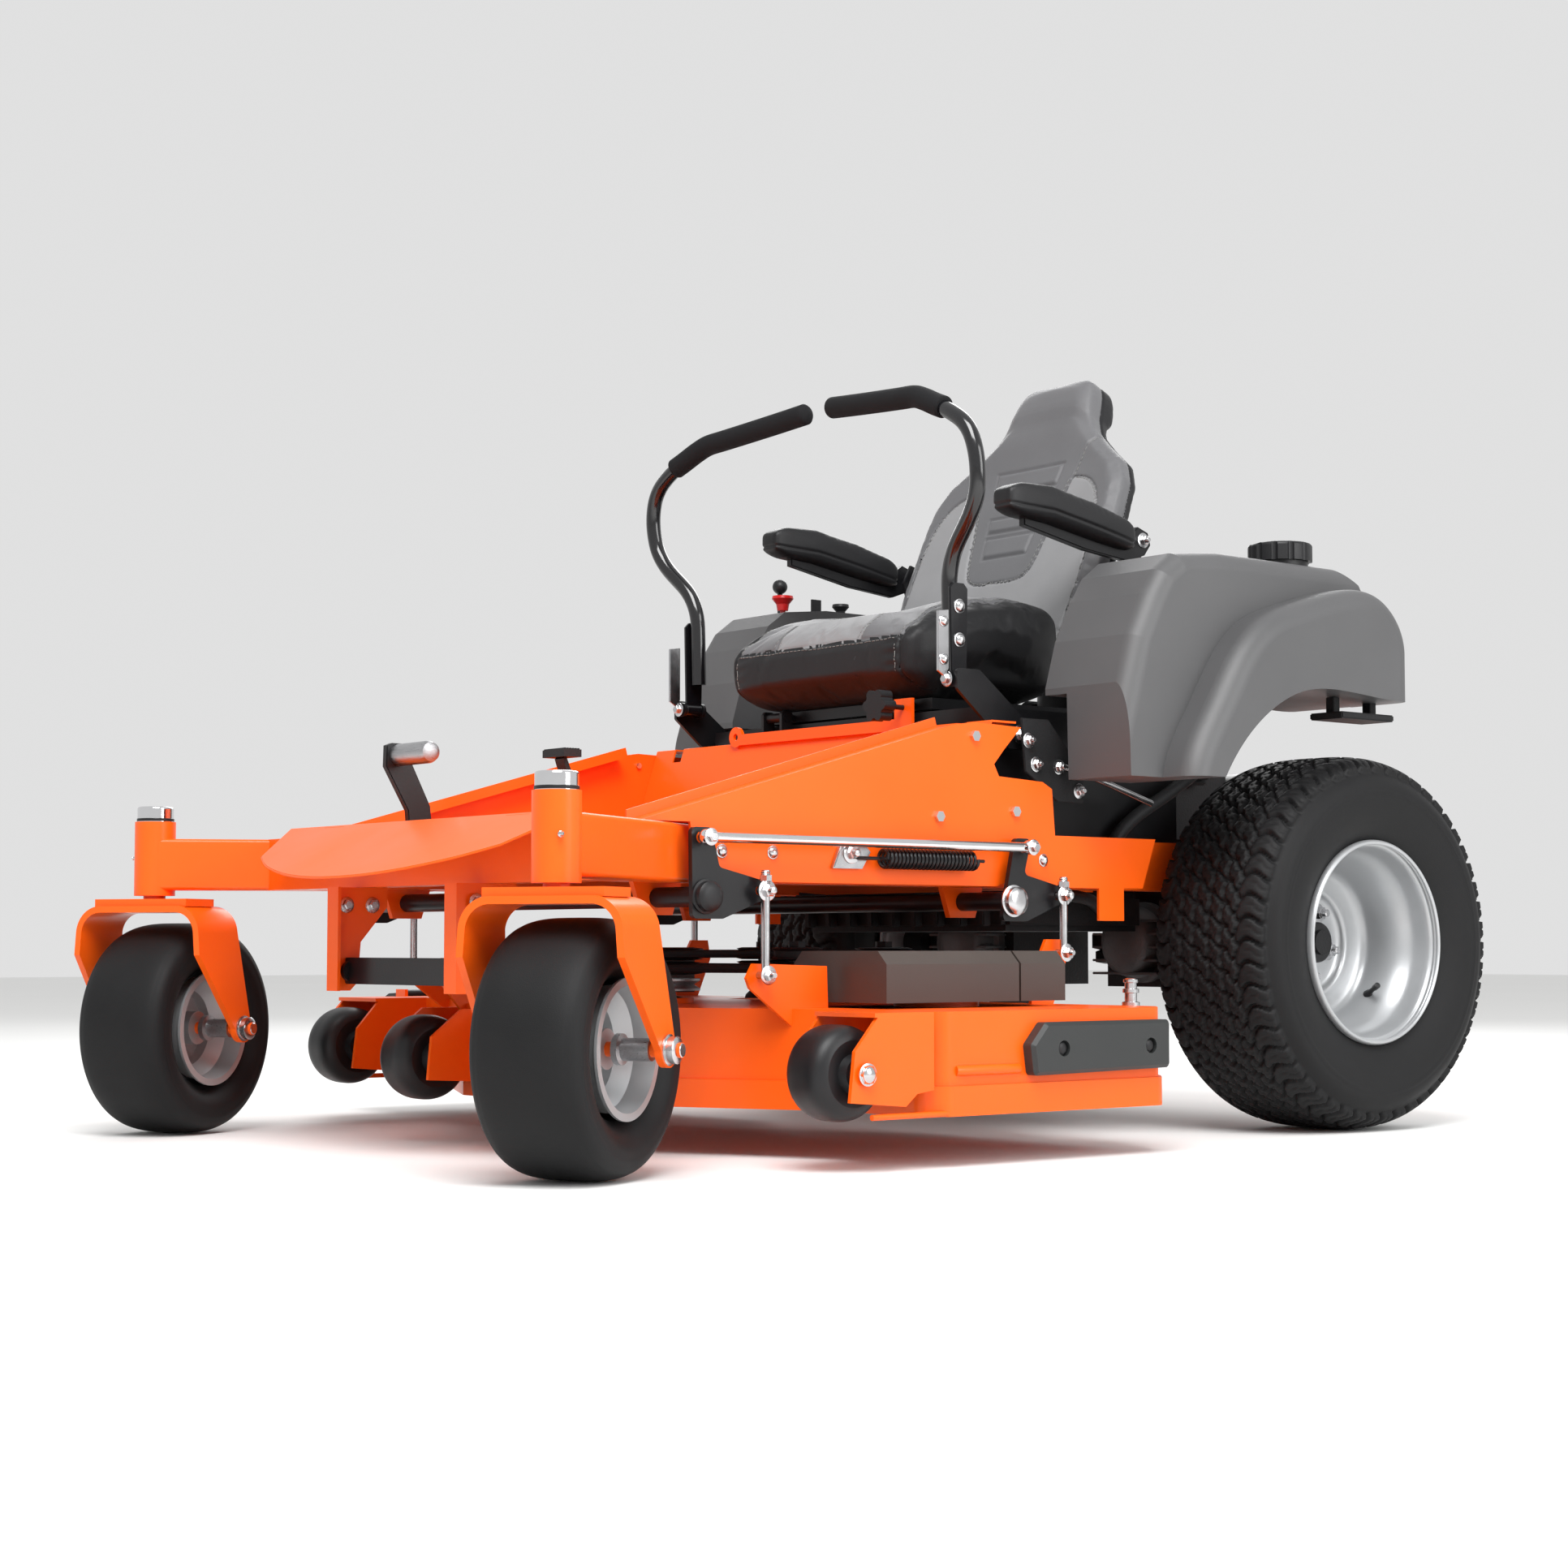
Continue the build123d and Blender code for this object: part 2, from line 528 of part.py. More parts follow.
def caster_fork():
    """Fork in wheel axes: origin at the wheel centre, +x along the axle, +y straight back."""
    top = CROWN_Z - FRONT_R
    with BuildPart() as fork:
        # bent strap: crown and two legs that narrow down to the axle
        with BuildSketch(Plane.XZ.offset(TRAIL + 45)):
            with BuildLine() as bend:
                FilletPolyline((-FORK_IN - 14, -36), (-FORK_IN + 2, top), (FORK_IN - 2, top),
                               (FORK_IN + 14, -36), radius=34)
                offset(amount=FORK_T, side=Side.LEFT)
            make_face()
        extrude(amount=-(TRAIL + 100))
        with BuildSketch(Plane.YZ.offset(-200)):
            with BuildLine():
                Polyline((-TRAIL - 60, top - 46), (-TRAIL - 60, top + 40), (-TRAIL + 60, top + 40),
                         (-TRAIL + 60, top - 30))
                Line((-TRAIL + 60, top - 30), (22, 0))
                RadiusArc((22, 0), (-22, 0), 22)
                Line((-22, 0), (-TRAIL - 60, top - 46))
            make_face()
        extrude(amount=400, mode=Mode.INTERSECT)
        # doubler channel and stem
        with Locations((0, -TRAIL, top + FORK_T + 5)):
            Box(170, 74, 12)
        with BuildSketch(Plane.XY.offset(top)):
            with Locations((0, -TRAIL)):
                Circle(STEM_R)
        extrude(amount=KING_TOP - 2 - CROWN_Z)
        with BuildSketch(Plane.YZ.offset(-FORK_IN - 40)):
            Circle(CASTER_AXLE_R)
        extrude(amount=2 * FORK_IN + 80)
        for end in (-1, 1):
            with BuildSketch(Plane.YZ.offset(end * (FORK_IN + 22))):
                RegularPolygon(16, 6)
            extrude(amount=end * 12)
    return fork.part


def tyre(radius, width, rim_r, rim_half, squareness):
    """Tubeless tyre about the X axis: a rounded carcass whose beads sit between the rim flanges."""
    half, bead = width / 2, rim_half - 8.5
    middle = (radius + rim_r + 12) / 2
    outer = []
    for step in range(13):
        angle = radians(180 - 15 * step)
        outer.append((half * abs(cos(angle)) ** (2 / squareness) * (1 if cos(angle) > 0 else -1),
                      middle + (radius - middle) * abs(sin(angle)) ** (2 / squareness)))
    thinner = 1 - 15 / (radius - middle)
    inner = [(x * 0.86, middle + (r - middle) * thinner) for x, r in reversed(outer)]
    with BuildPart() as ring:
        with BuildSketch(Plane.XY):
            with BuildLine():
                Polyline((-bead, rim_r), (-bead, rim_r + 9), outer[0])
                Spline(*outer)
                Polyline(outer[-1], (bead, rim_r + 9), (bead, rim_r), (bead - 22, rim_r),
                         (bead - 20, rim_r + 20), inner[0])
                Spline(*inner)
                Polyline(inner[-1], (20 - bead, rim_r + 20), (22 - bead, rim_r), (-bead, rim_r))
            make_face()
        revolve(axis=Axis.X)
    return ring.part


def rim(rim_r, half, drop, disc_x, hub, hub_r, bore):
    """Stamped rim: flanges, bead seats, drop centre, a disc and its hub."""
    with BuildPart() as wheel:
        with BuildSketch(Plane.XY):
            with BuildLine():
                Polyline((-half, rim_r + 8), (-half, rim_r - 2), (-half + 30, rim_r - 6),
                         (-half + 50, drop), (half - 50, drop), (half - 30, rim_r - 6), (half, rim_r - 2),
                         (half, rim_r + 8),
                         (half - 4, rim_r + 8), (half - 6, rim_r + 2), (half - 8, rim_r - 0.5),
                         (half - 32, rim_r - 2), (half - 52, drop + 4), (-half + 52, drop + 4),
                         (-half + 32, rim_r - 2), (-half + 8, rim_r - 0.5), (-half + 6, rim_r + 2),
                         (-half + 4, rim_r + 8), close=True)
            make_face()
            with Locations((disc_x, (drop + hub_r) / 2)):
                Rectangle(5, drop - hub_r + 4)
            with Locations(((hub[0] + hub[1]) / 2, (hub_r + bore) / 2)):
                Rectangle(hub[1] - hub[0], hub_r - bore)
        revolve(axis=Axis.X)
    return wheel.part


fork = caster_fork()
front_tyre = tyre(FRONT_R, FRONT_W, FRONT_RIM_R - 10, FRONT_W / 2 - 12, 2.7)
front_half = FRONT_W / 2 - 12
front_hub = (30 - front_half, front_half - 30)
front_rim = rim(FRONT_RIM_R - 10, front_half, 60, 0, front_hub, 26, CASTER_AXLE_R + 0.06)
for side, word in ((1, "left"), (-1, "right")):
    place = caster_frame(side).location
    write(fork.moved(place), f"caster_fork_{word}")
    write(front_tyre.moved(place), f"front_tyre_{word}")
    write(front_rim.moved(place), f"front_rim_{word}")

# ================= drive wheels =================
RIM_HALF = 106.0
HUB_IN, HUB_OUT, DISC_X, STUD_R = -92.0, -14.0, -34.0, 56.0
rear_tyre = tyre(REAR_R, REAR_W, REAR_RIM_R - 12, RIM_HALF, 3.4)
with BuildPart() as rear_rim:
    add(rim(REAR_RIM_R - 12, RIM_HALF, 122, DISC_X, (HUB_IN, HUB_OUT), 40, AXLE_R + 0.06))
    with BuildSketch(Plane.YZ.offset(DISC_X)):
        with PolarLocations(STUD_R, 5):
            Circle(10)
    extrude(amount=14)
rear_rim = rear_rim.part
for side, word in ((1, "left"), (-1, "right")):
    place = Location((side * REAR_X, 0, REAR_R))
    tyre_here = rear_tyre if side > 0 else mirrored(rear_tyre)
    rim_here = rear_rim if side > 0 else mirrored(rear_rim)
    write(tyre_here.moved(place), f"rear_tyre_{word}")
    write(rim_here.moved(place), f"rear_rim_{word}")

# ================= control levers =================
LEVER_PATH = [(317, -649, 742), (317, -653, 886), (402, -672, 965), (412, -680, 1028), (396, -684, 1082),
              (345, -684, 1115), (269, -673, 1147), (40, -646, 1169)]
GRIP_START = (337.0, -682.8, 1118.4)
BEND_R = 34.0


def lever_pivot():
    """Bent arm on the cross pin, with two ears that hold the outward pivot pin."""
    with BuildPart() as base:
        with BuildSketch(Plane.YZ.offset(LEVER_X)):
            with BuildLine():
                FilletPolyline((-672, 716), (-626, 716), (-526, 642), (-526, 598), (-564, 598), (-672, 684),
                               radius=6, close=True)
            make_face()
            with Locations((LEVER_PIVOT_Y, LEVER_PIVOT_Z)):
                Circle(PIN_FIT, mode=Mode.SUBTRACT)
        extrude(amount=6)
        for y in (SWING_Y - 23, SWING_Y + 17):
            with BuildSketch(Plane.XZ.offset(-y)):
                with Locations((SWING_X, SWING_Z)):
                    Circle(12)
                with Locations((SWING_X + 8, SWING_Z)):
                    Rectangle(16, 24)
            extrude(amount=-6)
        with BuildSketch(Plane.XZ.offset(-(SWING_Y - 27))):
            with Locations((SWING_X, SWING_Z)):
                Circle(6)
        extrude(amount=-54)
    return base.part


def control_lever():
    """Tube bolted to a flat plate whose lower eye turns on the outward pivot pin."""
    with BuildPart() as tube:
        with BuildLine() as path:
            FilletPolyline(*LEVER_PATH, radius=BEND_R)
        with BuildSketch(Plane(path.line @ 0, z_dir=path.line % 0)):
            Circle(LEVER_R)
        sweep()
        with BuildSketch(Plane.YZ.offset(SWING_X - 9)):
            with BuildLine():
                FilletPolyline((SWING_Y - 16, 700), (SWING_Y - 19, 842), (SWING_Y + 19, 842),
                               (SWING_Y + 16, 700), radius=5, close=True)
            make_face()
        extrude(amount=6)
        with BuildSketch(Plane.XZ.offset(-(SWING_Y - 16))):
            with Locations((SWING_X, SWING_Z)):
                Circle(11)
        extrude(amount=-32)
        with BuildSketch(Plane.XZ.offset(-(SWING_Y - 20))):
            with Locations((SWING_X, SWING_Z)):
                Circle(6.05)
        extrude(amount=-40, mode=Mode.SUBTRACT)
        for z in (760, 812):
            with BuildSketch(Plane.YZ.offset(SWING_X - 3)):
                with Locations((SWING_Y, z)):
                    RegularPolygon(7.5, 6)
            extrude(amount=6)
    return tube.part


def lever_grip():
    """Foam sleeve pushed over the upper end of the lever."""
    with BuildPart() as grip:
        with BuildLine() as path:
            FilletPolyline(GRIP_START, LEVER_PATH[-2], (28, -644.6, 1170.2), radius=BEND_R)
        with BuildSketch(Plane(path.line @ 0, z_dir=path.line % 0)):
            Circle(GRIP_R)
        sweep()
    return grip.part


lever = control_lever()
grip = lever_grip() - lever
pivot = lever_pivot()
for side, word in ((1, "left"), (-1, "right")):
    for piece, name in ((pivot, "lever_pivot"), (lever, "control_lever"), (grip, "lever_grip")):
        write(piece if side > 0 else mirrored(piece), f"{name}_{word}")

# ================= seat =================
PAN_Y0, PAN_Y1, PAN_Z0, PAN_Z1 = -590.0, -200.0, 668.0, 686.0
with BuildPart() as seat_pan:
    with Locations((0, (PAN_Y0 + PAN_Y1) / 2, (PAN_Z0 + PAN_Z1) / 2)):
        Box(420, PAN_Y1 - PAN_Y0, PAN_Z1 - PAN_Z0)
    with Locations((0, (PAN_Y0 + PAN_Y1) / 2, (PAN_Z0 + PAN_Z1) / 2 - 4)):
        Box(412, PAN_Y1 - PAN_Y0 - 8, PAN_Z1 - PAN_Z0, mode=Mode.SUBTRACT)
    for x in (-HINGE_X, HINGE_X):
        with Locations((x, (PAN_Y0 + PAN_Y1) / 2, PAN_Z1 + 1.6)):
            Box(30, 330, 3.2)
        with Locations((x, (PAN_Y0 + HINGE_Y) / 2 + 2, HINGE_Z)):
            Box(36, PAN_Y0 - HINGE_Y + 4, 10)
        with BuildSketch(Plane.YZ.offset(x - 28)):
            with Locations((HINGE_Y, HINGE_Z)):
                Circle(PIN_R)
        extrude(amount=56)
write(seat_pan.part, "seat_pan")

CUSHION_Z0, CUSHION_Y0, CUSHION_Y1 = 690.0, -668.0, -308.0
CUSHION_TOP = [(-632, 800), (-592, 829), (-500, 850), (-428, 856), (-340, 850), (CUSHION_Y1, 830)]
with BuildPart() as seat_cushion:
    with BuildSketch(Plane.YZ.offset(-CUSHION_HALF)):
        with BuildLine():
            Polyline((CUSHION_Y0 + 34, CUSHION_Z0), (CUSHION_Y0, CUSHION_Z0 + 36), (CUSHION_Y0, 768),
                     CUSHION_TOP[0])
            Spline(*CUSHION_TOP)
            Polyline(CUSHION_TOP[-1], (CUSHION_Y1 - 50, CUSHION_Z0), (CUSHION_Y0 + 34, CUSHION_Z0))
        make_face()
    extrude(amount=2 * CUSHION_HALF)
write(seat_cushion.part, "seat_cushion")

ARM_PIVOT_Y, ARM_PIVOT_Z = -196.0, 964.0
BACK_LEAN = 24.0                                    # seat back leans this far from upright
BACK_FOOT = (0.0, -300.0, 812.0)
BACK_T = 84.0
BACK_OUTLINE = [(0, -76), (180, -76), (232, -40), (SEAT_BACK_HALF, 60), (SEAT_BACK_HALF, 230),
                (238, 300), (214, 341), (165, 380), (126, 417), (104, 455), (96, 500), (74, 530), (0, 536)]
back_plane = Plane(BACK_FOOT, x_dir=(1, 0, 0), z_dir=(0, -cos(radians(BACK_LEAN)), sin(radians(BACK_LEAN))))
with BuildPart() as seat_back:
    with BuildSketch(back_plane):
        with BuildLine():
            Polyline(*BACK_OUTLINE[:4])
            Spline(*BACK_OUTLINE[3:11])
            Polyline(*BACK_OUTLINE[10:])
            mirror(about=Plane.YZ)
        make_face()
    extrude(amount=-BACK_T)
    # bolts that the armrests turn on
    for side in (-1, 1):
        with BuildSketch(Plane.YZ.offset(side * (SEAT_BACK_HALF - 10))):
            with Locations((ARM_PIVOT_Y, ARM_PIVOT_Z)):
                Circle(8)
        extrude(amount=side * 66)
write(seat_back.part, "seat_back")


def armrest():
    """Padded arm: a shaped pad on a flat steel arm that turns on the bolt at its rear end."""
    with BuildPart() as arm:
        with BuildSketch(Plane.YZ.offset(ARM_X - ARM_HALF)):
            with BuildLine():
                Spline((-516, 990), (-505, 1012), (-440, 1020), (-330, 1004), (-232, 982))
                Polyline((-232, 982), (-218, 968), (-226, 944), (-250, 938), (-480, 976), (-506, 974),
                         (-516, 990))
            make_face()
        extrude(amount=2 * ARM_HALF)
        with BuildSketch(Plane.YZ.offset(ARM_X - 4)):
            with BuildLine():
                Polyline((-300, 946), (-215, 934), (-182, 950), (-182, 978), (-220, 976), (-240, 958),
                         close=True)
            make_face()
        extrude(amount=8)
        with BuildSketch(Plane.YZ.offset(ARM_X - 6)):
            with Locations((ARM_PIVOT_Y, ARM_PIVOT_Z)):
                Circle(8.05)
        extrude(amount=12, mode=Mode.SUBTRACT)
    return arm.part


arm_pad = armrest()
write(arm_pad, "armrest_left")
write(mirrored(arm_pad), "armrest_right")

# ================= deck =================
DECK_PLAN = [(0, -1222), (150, -1222), (500, -1040), (DECK_X - 26, -1032), (DECK_X, -1006), (DECK_X, -596),
             (DECK_X - 40, -556), (262, -556), (150, -716), (0, -716)]
CHUTE_Y0, CHUTE_Y1 = -1000.0, -690.0
FRONT_FOOT_Z, REAR_FOOT_Z = 254.0, 284.0
MID_ROLLER_X, MID_ROLLER_Y = 146.0, -1300.0
LUG_Y, LUG_Z, LUG_HOLE = -1245.0, 256.0, 8.4         # rear end of each deck link
CHUTE_HINGE_X, CHUTE_HINGE_Z, CHUTE_PIN = -DECK_X - 14, DECK_Z1 + 2, 5.0
with BuildPart() as deck_shell:
    with BuildSketch(Plane.XY.offset(DECK_Z0)) as deck_outline:
        with BuildLine():
            Polyline(*DECK_PLAN)
            mirror(about=Plane.YZ)
        make_face()
        fillet(deck_outline.vertices().filter_by(lambda v: abs(v.X) > 600), 18)
    extrude(amount=DECK_Z1 - DECK_Z0)
    with BuildSketch(Plane.XY.offset(DECK_Z0)):
        add(deck_outline.sketch)
        offset(amount=-DECK_T, mode=Mode.REPLACE)
    extrude(amount=DECK_Z1 - DECK_Z0 - DECK_T, mode=Mode.SUBTRACT)
    # double-thickness lip around the lower edge
    with BuildSketch(Plane.XY.offset(DECK_Z0)):
        add(deck_outline.sketch)
        offset(amount=5, mode=Mode.REPLACE)
        offset(deck_outline.sketch, amount=-DECK_T, mode=Mode.SUBTRACT)
    extrude(amount=40)
    # discharge mouth in the right side wall
    with Locations((-DECK_X, (CHUTE_Y0 + CHUTE_Y1) / 2, DECK_Z0 + 56)):
        Box(40, CHUTE_Y1 - CHUTE_Y0, 116, mode=Mode.SUBTRACT)
    # spindle openings with raised seats
    for x, y in ((SPINDLE_X, SPINDLE_Y), (-SPINDLE_X, SPINDLE_Y), (0, CENTRE_Y)):
        with BuildSketch(Plane.XY.offset(DECK_Z0 + 90)):
            with Locations((x, y)):
                Circle(62)
        extrude(amount=DECK_Z1 - DECK_Z0 - 90 + 8)
        with BuildSketch(Plane.XY.offset(DECK_Z0 + 60)):
            with Locations((x, y)):
                Circle(SPINDLE_R + 0.05)
        extrude(amount=120, mode=Mode.SUBTRACT)
    # lift brackets and link lugs
    for side in (-1, 1):
        with BuildSketch(Plane.YZ.offset(side * (CRANK_X - 3))):
            with BuildLine():
                Polyline((-1150, 250), (-1138, 270), (-1006, 266), (-1004, DECK_Z1 - 1), (-1042, DECK_Z1 - 1),
                         (-1042, 176), (-1060, 176), (-1144, 236), close=True)
            make_face()
        extrude(amount=side * 6)
        with BuildSketch(Plane.YZ.offset(side * (CRANK_X - 3))):
            with BuildLine():
                Polyline((-604, DECK_Z1 - 1), (-604, 246), (-572, 304), (-536, 304), (-530, 272),
                         (-558, DECK_Z1 - 1),
                         close=True)
            make_face()
        extrude(amount=side * 6)
        for y, z in ((CRANK_FRONT_Y + CRANK_ARM, FRONT_FOOT_Z), (CRANK_REAR_Y + CRANK_ARM, REAR_FOOT_Z)):
            with BuildSketch(Plane.YZ.offset(side * (CRANK_X - 8))):
                with Locations((y, z)):
                    Circle(5.05)
            extrude(amount=side * 16, mode=Mode.SUBTRACT)
        with BuildSketch(Plane.YZ.offset(side * 150)):
            with BuildLine():
                Polyline((-1214, DECK_Z1 - 30), (-1214, 276), (-1266, 276), (-1266, 236), (-1226, 190),
                         close=True)
            make_face()
            with Locations((LUG_Y, LUG_Z)):
                Circle(LUG_HOLE, mode=Mode.SUBTRACT)
        extrude(amount=side * 6)
    # anti-scalp roller forks at the front corners
    for side in (-1, 1):
        for x in (ROLLER_X + 54, ROLLER_X - 62):
            with BuildSketch(Plane.YZ.offset(side * x)):
                with BuildLine():
                    Polyline((-1030, 202), (-1128, 202), (-1168, 158), (-1176, 92), (-1080, 84), (-1060, 100),
                             (-1030, 104), close=True)
                make_face()
            extrude(amount=side * 6)
        with Locations((side * (ROLLER_X - 1), -1082, 204)):
            Box(122, 104, 6)
        with BuildSketch(Plane.YZ.offset(side * (ROLLER_X - 60))):
            with Locations((ROLLER_Y, ROLLER_Z)):
                Circle(7.94)
        extrude(amount=side * 126)
        with BuildSketch(Plane.YZ.offset(side * (ROLLER_X + 60))):
            with Locations((ROLLER_Y, ROLLER_Z)):
                RegularPolygon(13, 6)
        extrude(amount=side * 9)
    # fork for the two middle rollers
    for side in (-1, 1):
        for x, back in ((MID_ROLLER_X - 58, -1216), (MID_ROLLER_X + 52, -1188)):
            with BuildSketch(Plane.YZ.offset(side * x)):
                with BuildLine():
                    Polyline((back, 200), (-1270, 200), (-1322, 160), (-1328, 96), (-1250, 92), (back, 110),
                             close=True)
                make_face()
            extrude(amount=side * 6)
        with BuildSketch(Plane.YZ.offset(side * (MID_ROLLER_X - 58))):
            with Locations((MID_ROLLER_Y, ROLLER_Z)):
                Circle(7.94)
        extrude(amount=side * 120)
    # hinge pin of the discharge chute, held by a lug at each end
    for y in (CHUTE_Y0 - 8, CHUTE_Y1 + 2):
        with BuildSketch(Plane.XZ.offset(-y)):
            with Locations((CHUTE_HINGE_X + 6, CHUTE_HINGE_Z - 1)):
                Rectangle(30, 22)
        extrude(amount=-6)
    with BuildSketch(Plane.XZ.offset(8 - CHUTE_Y0)):
        with Locations((CHUTE_HINGE_X, CHUTE_HINGE_Z)):
            Circle(CHUTE_PIN)
    extrude(amount=CHUTE_Y0 - CHUTE_Y1 - 16)
write(deck_shell.part, "deck_shell")

with BuildPart() as deck_bumper:
    with BuildSketch(Plane.YZ.offset(DECK_X)):
        with BuildLine():
            FilletPolyline((-860, 118), (-866, 160), (-838, 190), (-590, 190), (-590, 122), radius=7,
                           close=True)
        make_face()
    extrude(amount=BUMPER_T)
    for y in (-806, -632):
        with BuildSketch(Plane.YZ.offset(DECK_X + BUMPER_T - 8)):
            with Locations((y, 154)):
                Circle(11)
        extrude(amount=10, mode=Mode.SUBTRACT)
    chamfer(deck_bumper.faces().sort_by(Axis.X)[-1].outer_wire().edges(), 5)
write(deck_bumper.part, "deck_bumper")

COVER_X0, COVER_X1, COVER_Z1 = 345.0, 545.0, 287.0


def belt_cover():
    """Pressed cover over an outer spindle pulley, in a long and a short piece."""
    with BuildPart() as cover:
        for y0, y1 in ((-985, -730), (-726, -636)):
            with Locations(((COVER_X0 + COVER_X1) / 2, (y0 + y1) / 2, (DECK_Z1 + 8 + COVER_Z1) / 2)):
                Box(COVER_X1 - COVER_X0, y1 - y0, COVER_Z1 - DECK_Z1 - 8)
        chamfer(cover.faces().group_by(Axis.Z)[-1].edges().filter_by(Axis.Y), 18)
        with Locations(((COVER_X0 + COVER_X1) / 2, -811, (DECK_Z1 + 4 + COVER_Z1 - 3) / 2)):
            Box(COVER_X1 - COVER_X0 - 40, 340, COVER_Z1 - DECK_Z1 - 3, mode=Mode.SUBTRACT)
    return cover.part


with BuildPart() as belt_covers:
    cover = belt_cover()
    add(cover)
    mirror(cover, about=Plane.YZ)
write(belt_covers.part, "belt_covers")

with BuildPart() as discharge_chute:
    with BuildSketch(Plane.XZ.offset(-CHUTE_Y0)):
        with BuildLine():
            Polyline((CHUTE_HINGE_X - 6, DECK_Z1 + 6), (-DECK_X - 60, DECK_Z1 + 4), (-DECK_X - 150, 172),
                     (-DECK_X - CHUTE_REACH, 118), (-DECK_X - CHUTE_REACH + 5, 114), (-DECK_X - 146, 166),
                     (-DECK_X - 58, DECK_Z1 - 2), (CHUTE_HINGE_X - 6, DECK_Z1), close=True)
        make_face()
        with Locations((CHUTE_HINGE_X, CHUTE_HINGE_Z)):
            Circle(9)
            Circle(CHUTE_PIN + 0.05, mode=Mode.SUBTRACT)
    extrude(amount=-(CHUTE_Y1 - CHUTE_Y0))
    for y in (CHUTE_Y0, CHUTE_Y1 - 5):
        with BuildSketch(Plane.XZ.offset(-y)):
            with BuildLine():
                Polyline((CHUTE_HINGE_X - 8, DECK_Z1 + 1), (-DECK_X - 60, DECK_Z1 + 1),
                         (-DECK_X - 150, 169), (-DECK_X - CHUTE_REACH + 3, 116), (-DECK_X - 150, 100),
                         (-DECK_X - 14, 96), close=True)
            make_face()
        extrude(amount=-5)
write(discharge_chute.part, "discharge_chute")

# blades on their spindles, each with a pulley above the deck
BLADE_Z = 96.0


def blade_spindle(turn):
    with BuildPart() as blade:
        with BuildSketch(Plane.XY.offset(BLADE_Z)):
            Rectangle(2 * BLADE_R - 4, 62)
            fillet(vertices(), 4)
        extrude(amount=5)
        for end in (-1, 1):
            with BuildSketch(Plane.XZ.offset(end * 31)):
                with BuildLine():
                    Polyline((end * 130, BLADE_Z), (end * 130, BLADE_Z + 5), (end * 200, BLADE_Z + 24),
                             (end * 222, BLADE_Z + 24), (end * 222, BLADE_Z + 19), (end * 202, BLADE_Z + 19),
                             close=True)
                make_face()
            extrude(amount=-end * 20)
        with BuildSketch(Plane.XY.offset(BLADE_Z - 14)):
            RegularPolygon(17, 6)
        extrude(amount=14)
        with BuildSketch(Plane.XY.offset(BLADE_Z + 5)):
            Circle(30)
        extrude(amount=16)
        with BuildSketch(Plane.XY.offset(BLADE_Z)):
            Circle(SPINDLE_R)
        extrude(amount=172)
        with BuildSketch(Plane.XZ):
            with BuildLine():
                Polyline((10, 226), (72, 226), (72, 229), (62, 235), (72, 241), (72, 244), (10, 244),
                         close=True)
            make_face()
        revolve(axis=Axis.Z)
    return blade.part.rotate(Axis.Z, turn)


for (x, y), turn, word in (((SPINDLE_X, SPINDLE_Y), 20, "left"), ((0, CENTRE_Y), 65, "centre"),
                           ((-SPINDLE_X, SPINDLE_Y), 110, "right")):
    write(blade_spindle(turn).moved(Location((x, y, 0))), f"blade_{word}")


def roller():
    """Ball-shaped anti-scalp roller about the X axis."""
    with BuildPart() as ball:
        with BuildSketch(Plane.XY):
            with BuildLine():
                Polyline((-ROLLER_W / 2, 8), (-ROLLER_W / 2, 22), (-ROLLER_W / 2 + 12, 26),
                         (-ROLLER_W / 2 + 10, 44))
                Spline((-ROLLER_W / 2 + 10, 44), (-26, 60), (0, ROLLER_R), (26, 60), (ROLLER_W / 2 - 10, 44))
                Polyline((ROLLER_W / 2 - 10, 44), (ROLLER_W / 2 - 12, 26), (ROLLER_W / 2, 22),
                         (ROLLER_W / 2, 8),
                         (-ROLLER_W / 2, 8))
            make_face()
        revolve(axis=Axis.X)
    return ball.part


ball = roller()
write(ball.moved(Location((ROLLER_X, ROLLER_Y, ROLLER_Z))), "gauge_roller_left")
write(ball.moved(Location((-ROLLER_X, ROLLER_Y, ROLLER_Z))), "gauge_roller_right")
with BuildPart() as centre_rollers:
    for side in (-1, 1):
        add(ball.moved(Location((side * MID_ROLLER_X, MID_ROLLER_Y, ROLLER_Z))))
write(centre_rollers.part, "centre_rollers")


# ================= deck lift =================
def lift_shaft(y, lean):
    """Cross shaft with a bell crank on each end."""
    with BuildPart() as shaft:
        with BuildSketch(Plane.YZ.offset(-CRANK_X - 6)):
            with Locations((y, CRANK_Z)):
                Circle(SHAFT_R)
        extrude(amount=2 * CRANK_X + 12)
        for side in (-1, 1):
            with BuildSketch(Plane.YZ.offset(side * (CRANK_X - 4))):
                with BuildLine():
                    FilletPolyline((y - 22, CRANK_Z - 30), (y - 24 + lean, CRANK_Z + CRANK_RISE + 14),
                                   (y + 10 + lean, CRANK_Z + CRANK_RISE + 14), (y + 24, CRANK_Z + 40),
                                   (y + CRANK_ARM + 12, CRANK_Z + 22), (y + CRANK_ARM + 12, CRANK_Z - 2),
                                   (y + 30, CRANK_Z - 30), radius=8, close=True)
                make_face()
                with Locations((y - 8 + lean, CRANK_Z + CRANK_RISE)):
                    Circle(PIN_FIT, mode=Mode.SUBTRACT)
                with Locations((y + CRANK_ARM, CRANK_Z + 9)):
                    Circle(6.6, mode=Mode.SUBTRACT)
            extrude(amount=side * 8)
            with BuildSketch(Plane.YZ.offset(side * (CRANK_X + 4))):
                with Locations((y, CRANK_Z)):
                    RegularPolygon(20, 6)
            extrude(amount=side * 12)
    return shaft.part


